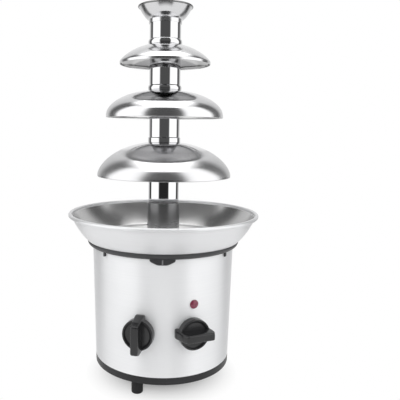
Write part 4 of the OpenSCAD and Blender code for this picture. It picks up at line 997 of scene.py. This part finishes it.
def flight_strip():
    """The screw flight: a thin section, thicker at its root, wound as a helix round the core."""
    height = FLIGHT_TOP - FLIGHT_Z
    turn = np.linspace(0.0, 2.0 * np.pi * height / FLIGHT_PITCH, 620)[:, None]
    root_r, root, edge = CORE_R - 0.2, FLIGHT_ROOT_T / 2.0, FLIGHT_EDGE_T / 2.0
    section = rounded([[root_r, -root], [FLIGHT_R, -edge], [FLIGHT_R, edge], [root_r, root]], 0.4, 3)
    climb = (height - FLIGHT_ROOT_T) * turn / turn[-1]
    rings = around_axis(section[:, 0], FLIGHT_Z + root + climb + section[:, 1], turn)
    return poled(rings, rings[0].mean(axis=0), rings[-1].mean(axis=0))


LATHE_STEEL = plain_metal(
    "turned core steel", (0.62, 0.62, 0.63), (0.74, 0.74, 0.75), (0.42, 0.52), 2400.0, 0.02
)
core = turned_solid(core_profile, 128)
place("auger_core_skin", core, "auger", LATHE_STEEL, ["auger_core"])
place("auger_flight_strip", flight_strip(), "auger", LATHE_STEEL, ["auger_flight"])


# Controls


def knob_disc():
    """A knob's disc and hub: a turned profile with a hollow front that the grip stands in."""
    hollow_back = [[0.0, 3.2], [8.4, 3.2], [8.8, 2.8], [8.8, 1.4], [9.2, 1.0], [10.6, 1.0], [HUB_R, 1.4]]
    return joined(
        hollow_back,
        line([HUB_R, 2.0], [HUB_R, DISC_BACK - 0.4], 3),
        [[HUB_R + 0.3, DISC_BACK]],
        line([HUB_R + 1.0, DISC_BACK], [DISC_R - 1.0, DISC_BACK], 4),
        arc([DISC_R - 1.0, DISC_BACK + 1.0], 1.0, -80, 0, 6),
        line([DISC_R, DISC_BACK + 2.0], [DISC_R, DISC_FRONT - 1.4], 4),
        arc([DISC_R - 0.8, DISC_FRONT - 0.8], 0.8, 0, 90, 6),
        line([DISC_R - 1.1, DISC_FRONT], [DISC_R - 1.7, DISC_FRONT], 2),
        arc([DISC_R - 1.7, DISC_FRONT - 0.6], 0.6, 100, 180, 5),
        arc([DISC_R - 4.3, HOLLOW + 2.0], 2.0, -15, -88, 10),
        line([DISC_R - 5.5, HOLLOW], [0.5, HOLLOW], 6),
        [[0.0, HOLLOW]],
    )


def knob_grip():
    """A knob's grip: its side view is a sloped bar with a pointer tab, and it narrows towards its ridge."""

    def half_width(spot):
        """Falls evenly with the distance from the drum."""
        return GRIP_HALF_W - GRIP_TAPER * spot[..., 1]

    side = rounded(list(GRIP_CORNERS.values()), 1.2, 6)
    return pillow(resampled(side, 160), half_width, 8.0, 40)


def place_knob(name, body, turn, rest_turn):
    """A knob on the drum's face, its grip turned anticlockwise from upright."""
    rotation, spot = facing(turn, KNOB_Z, drum_r(KNOB_Z))
    rotation = rotation @ np.array(Matrix.Rotation(math.radians(rest_turn), 3, "Z"))
    disc = moved(turned_solid(knob_disc(), 128), rotation, spot)
    grip = moved(knob_grip(), rotation, spot)
    place(name + "_disc", disc, body, KNOB_PLASTIC, [name])
    place(name + "_grip", grip, body, KNOB_PLASTIC)


place_knob("motor_knob", "motor_control", -KNOB_TURN, 0.0)
place_knob("heat_knob", "heat_control", KNOB_TURN, 90.0)

lens_angle = np.radians(np.linspace(8.0, 86.0, 14))
lens_profile = joined(
    [[0.0, -LENS_STEM_L], [LENS_STEM_R - 0.4, -LENS_STEM_L], [LENS_STEM_R, 0.4 - LENS_STEM_L]],
    [[LENS_STEM_R, SEAT], [LENS_R - 0.2, SEAT]],
    line([LENS_R, SEAT + 0.2], [LENS_R, LENS_SIDE], 3),
    np.stack([LENS_R * np.cos(lens_angle), LENS_SIDE + LENS_RISE * np.sin(lens_angle)], axis=-1),
    [[0.0, LENS_SIDE + LENS_RISE]],
)
lens = moved(turned_solid(lens_profile, 64), *facing(LAMP_TURN, LAMP_Z, drum_r(LAMP_Z)))
place("lamp_cap", lens, "base", LAMP_RED, ["lamp_lens"])

inlet_side = [[r, out] for r, start, end in INLET_STEPS for out in (start, end)]
inlet_back, inlet_front = INLET_STEPS[0][1], INLET_STEPS[-1][2]
inlet_outline = rounded([[INLET_BORE_R, inlet_back], *inlet_side, [INLET_BORE_R, inlet_front]], 0.6)
inlet = moved(turned_ring(inlet_outline, 72), *facing(INLET_TURN, INLET_Z, drum_r(INLET_Z)))
place("cord_grommet", inlet, "base", BASE_PLASTIC, ["cord_inlet"])


# Studio, in metres

# The photograph's camera, fitted to its ellipses; AXIS_PIXEL is the column that its axis falls on
CAMERA_TURN = 2.85
CAMERA_PITCH = 7.61
CAMERA_ROLL = 0.66
CAMERA_DISTANCE = 0.641
CAMERA_HEIGHT = 0.311
FOCAL_PIXELS = 510.0
AXIS_PIXEL = 163.5
PICTURE_PIXELS = 400.0
SENSOR_MM = 36.0

# The studio that polished metal mirrors. Each step is the turns from the camera's axis between which
# the level changes, the level from there on, and how many degrees forward the step leans in a metre.
DARK_FRONT = 0.10
STUDIO_STEPS = [
    (32.0, 43.0, 1.55, 0.0),
    (103.0, 112.0, 0.14, 10.0),
    (123.0, 141.0, 0.78, 0.0),
    (141.0, 180.0, 1.0, 0.0),
]
SURROUND_R = 1.2
SURROUND_H = 1.95
SURROUND_COLUMNS = 72
DEEP_POWER = 1.6
DEEP_HEIGHTS = (0.12, 0.24)

# The floor's shading gives way to white between the first two distances from the axis, and metal sees
# the floor end between the other two
FLOOR_FADE = (0.03, 0.10)
FLOOR_END = (0.40, 0.56)
FLOOR_HALF = 4.0
FLOOR_PAINT = (0.92, 0.92, 0.92, 1.0)
WHITE = (1.0, 1.0, 1.0, 1.0)

# The even light on the object, then the upright lamps: turn, distance from the axis, width and height,
# height of the middle, and level
FILL_LEVEL = 0.35
SIDE_BOXES = {
    "left_box": (-55.0, 1.3, (1.5, 1.7), 0.9, 1.15),
    "right_box": (55.0, 1.3, (1.5, 1.7), 0.9, 1.0),
    "front_box": (-CAMERA_TURN, 1.6, (1.6, 1.2), 0.8, 2.65),
}

# The lamp above
TOP_BOX = (0.0, -0.2, 1.9)
TOP_BOX_AIM = (0.0, -0.19, 0.2)
TOP_BOX_SIZE = (1.7, 1.5)
TOP_BOX_LEVEL = 1.35


def stage_material(name):
    """An empty material whose output is linked by hand."""
    material = bpy.data.materials.new(name)
    material.use_nodes = True
    material.node_tree.nodes.clear()
    return material, material.node_tree, node(material.node_tree, "OutputMaterial")


def stage_piece(name, points, faces, material):
    """A piece of the studio, which isn't part of the object."""
    mesh = bpy.data.meshes.new(name)
    mesh.from_pydata(points, [], faces)
    mesh.materials.append(material)
    piece = linked(name, mesh)
    return piece


def seen_rays(tree):
    """1 for rays from the camera, from gloss and through glass, and 0 for the light that falls on things."""
    path = node(tree, "LightPath").outputs
    seen = maths("MAXIMUM", path["Is Camera Ray"], path["Is Glossy Ray"])
    return maths("MAXIMUM", seen, path["Is Transmission Ray"])


def studio_level(spots):
    """How bright the studio looks in polished metal, by the turn from the camera's axis: dark behind the
    camera, bright where the side lamps stand, dark behind them and white at the back."""
    part = node(spots.id_data, "SeparateXYZ", {0: spots}).outputs
    turn = maths("ARCTAN2", part["X"], maths("MULTIPLY", part["Y"], -1.0))
    away = maths("ABSOLUTE", maths("ADD", turn, math.radians(CAMERA_TURN)))
    level = DARK_FRONT
    for start, end, next_level, lean in STUDIO_STEPS:
        leant = maths("MULTIPLY_ADD", part["Z"], math.radians(lean), away)
        level = blended(ramp(leant, math.radians(start), math.radians(end)), level, next_level)
    return level


def studio_floor():
    """A pale floor that keeps the object's shadow close by and is plain white further out. Polished
    metal sees it end before the camera, and the studio's own levels from there on."""
    material, tree, out = stage_material("studio floor")
    spots = node(tree, "TexCoord").outputs["Object"]
    distance = node(tree, "VectorMath", {0: spots}, operation="LENGTH").outputs["Value"]
    fade = maths("MULTIPLY", ramp(distance, *FLOOR_FADE, "LINEAR"), seen_rays(tree))
    mirrored = node(tree, "LightPath").outputs["Is Glossy Ray"]
    ended = maths("MULTIPLY", ramp(distance, *FLOOR_END), mirrored)
    level = blended(ended, 1.0, maths("MINIMUM", studio_level(spots), 1.0))
    paint = node(tree, "BsdfDiffuse", {"Color": FLOOR_PAINT}).outputs[0]
    white = node(tree, "Emission", {"Color": WHITE, "Strength": level}).outputs[0]
    mixed = node(tree, "MixShader", {0: fade, 1: paint, 2: white})
    feed(out, {"Surface": mixed.outputs[0]})
    corners = rectangle(-FLOOR_HALF, FLOOR_HALF, -FLOOR_HALF, FLOOR_HALF)
    stage_piece("floor", [(x, y, 0.0) for x, y in corners], [(0, 1, 2, 3)], material)


def studio_surround():
    """The studio that only polished metal sees: a drum of wall that glows at the studio's levels, with
    its dark parts deeper near the floor."""
    material, tree, out = stage_material("studio surround")
    spots = node(tree, "TexCoord").outputs["Object"]
    height = node(tree, "SeparateXYZ", {0: spots}).outputs["Z"]
    power = blended(ramp(height, *DEEP_HEIGHTS), DEEP_POWER, 1.0)
    level = studio_level(spots)
    dimmed = maths("MINIMUM", level, maths("POWER", level, power))
    feed(out, {"Surface": node(tree, "Emission", {"Strength": dimmed}).outputs[0]})
    ends = np.array([[0.0], [SURROUND_H]])
    points = around_axis(SURROUND_R, ends, full_turn(SURROUND_COLUMNS)).reshape(-1, 3)
    faces = wrapped_quads(2, SURROUND_COLUMNS, False)[:, ::-1]
    wall = stage_piece("surround", points.tolist(), faces.tolist(), material)
    for ray in ("camera", "diffuse", "transmission", "shadow"):
        setattr(wall, "visible_" + ray, False)


def looking(right, up, ahead, spot):
    """World matrix of something that looks along ahead, as Blender's cameras and lamps do."""
    columns = np.stack([right, up, -np.asarray(ahead), spot], axis=-1)
    return Matrix([list(map(float, row)) for row in columns] + [[0.0, 0.0, 0.0, 1.0]])


def soft_box(name, spot, aim, size, level, mirrored):
    """A large soft lamp aimed at a point. level is how bright its face looks, and polished metal shows
    that face if mirrored is true."""
    lamp = bpy.data.lights.new(name, "AREA")
    lamp.shape = "RECTANGLE"
    lamp.size, lamp.size_y = size
    lamp.energy = level * math.pi * size[0] * size[1]
    holder = linked(name, lamp)
    ahead = np.asarray(aim, dtype=float) - spot
    ahead /= np.linalg.norm(ahead)
    right = np.cross(ahead, [0.0, 0.0, 1.0])
    right /= np.linalg.norm(right)
    holder.matrix_world = looking(right, np.cross(right, ahead), ahead, spot)
    holder.visible_camera = False
    holder.visible_glossy = mirrored


def side_box(name, turn, distance, size, height, level):
    """An upright soft lamp that faces the axis and isn't mirrored."""
    spot = facing(turn, height, distance)[1]
    soft_box(name, spot, [0.0, 0.0, height], size, level, False)


def studio_world():
    """White for what the camera and the metal see, and a lower even level for the light on the object."""
    world = bpy.data.worlds.new("studio")
    world.use_nodes = True
    tree = world.node_tree
    tree.nodes.clear()
    fill = node(tree, "Background", {"Color": WHITE, "Strength": FILL_LEVEL}).outputs[0]
    white = node(tree, "Background", {"Color": WHITE, "Strength": 1.0}).outputs[0]
    mixed = node(tree, "MixShader", {0: seen_rays(tree), 1: fill, 2: white})
    node(tree, "OutputWorld", {"Surface": mixed.outputs[0]})
    bpy.context.scene.world = world


def studio_camera():
    """The photograph's camera: level with the tower's middle, pitched down, rolled a little, off centre."""
    turn, pitch, roll = (math.radians(a) for a in (CAMERA_TURN, CAMERA_PITCH, CAMERA_ROLL))
    level = np.array([math.sin(turn), math.cos(turn), 0.0])
    side = np.array([math.cos(turn), -math.sin(turn), 0.0])
    ahead = math.cos(pitch) * level - math.sin(pitch) * np.array([0.0, 0.0, 1.0])
    up = np.cross(side, ahead)
    right = math.cos(roll) * side + math.sin(roll) * up
    top = math.cos(roll) * up - math.sin(roll) * side
    lens_data = bpy.data.cameras.new("camera")
    lens_data.sensor_width = SENSOR_MM
    lens_data.lens = SENSOR_MM * FOCAL_PIXELS / PICTURE_PIXELS
    lens_data.shift_x = 0.5 - AXIS_PIXEL / PICTURE_PIXELS
    camera = linked("camera", lens_data)
    spot = -CAMERA_DISTANCE * level + [0.0, 0.0, CAMERA_HEIGHT]
    camera.matrix_world = looking(right, top, ahead, spot)
    bpy.context.scene.camera = camera


studio_world()
studio_floor()
studio_surround()
for box_name, box in SIDE_BOXES.items():
    side_box(box_name, *box)
soft_box("top_box", np.array(TOP_BOX), TOP_BOX_AIM, TOP_BOX_SIZE, TOP_BOX_LEVEL, True)
studio_camera()
bpy.context.scene.view_settings.view_transform = "Standard"
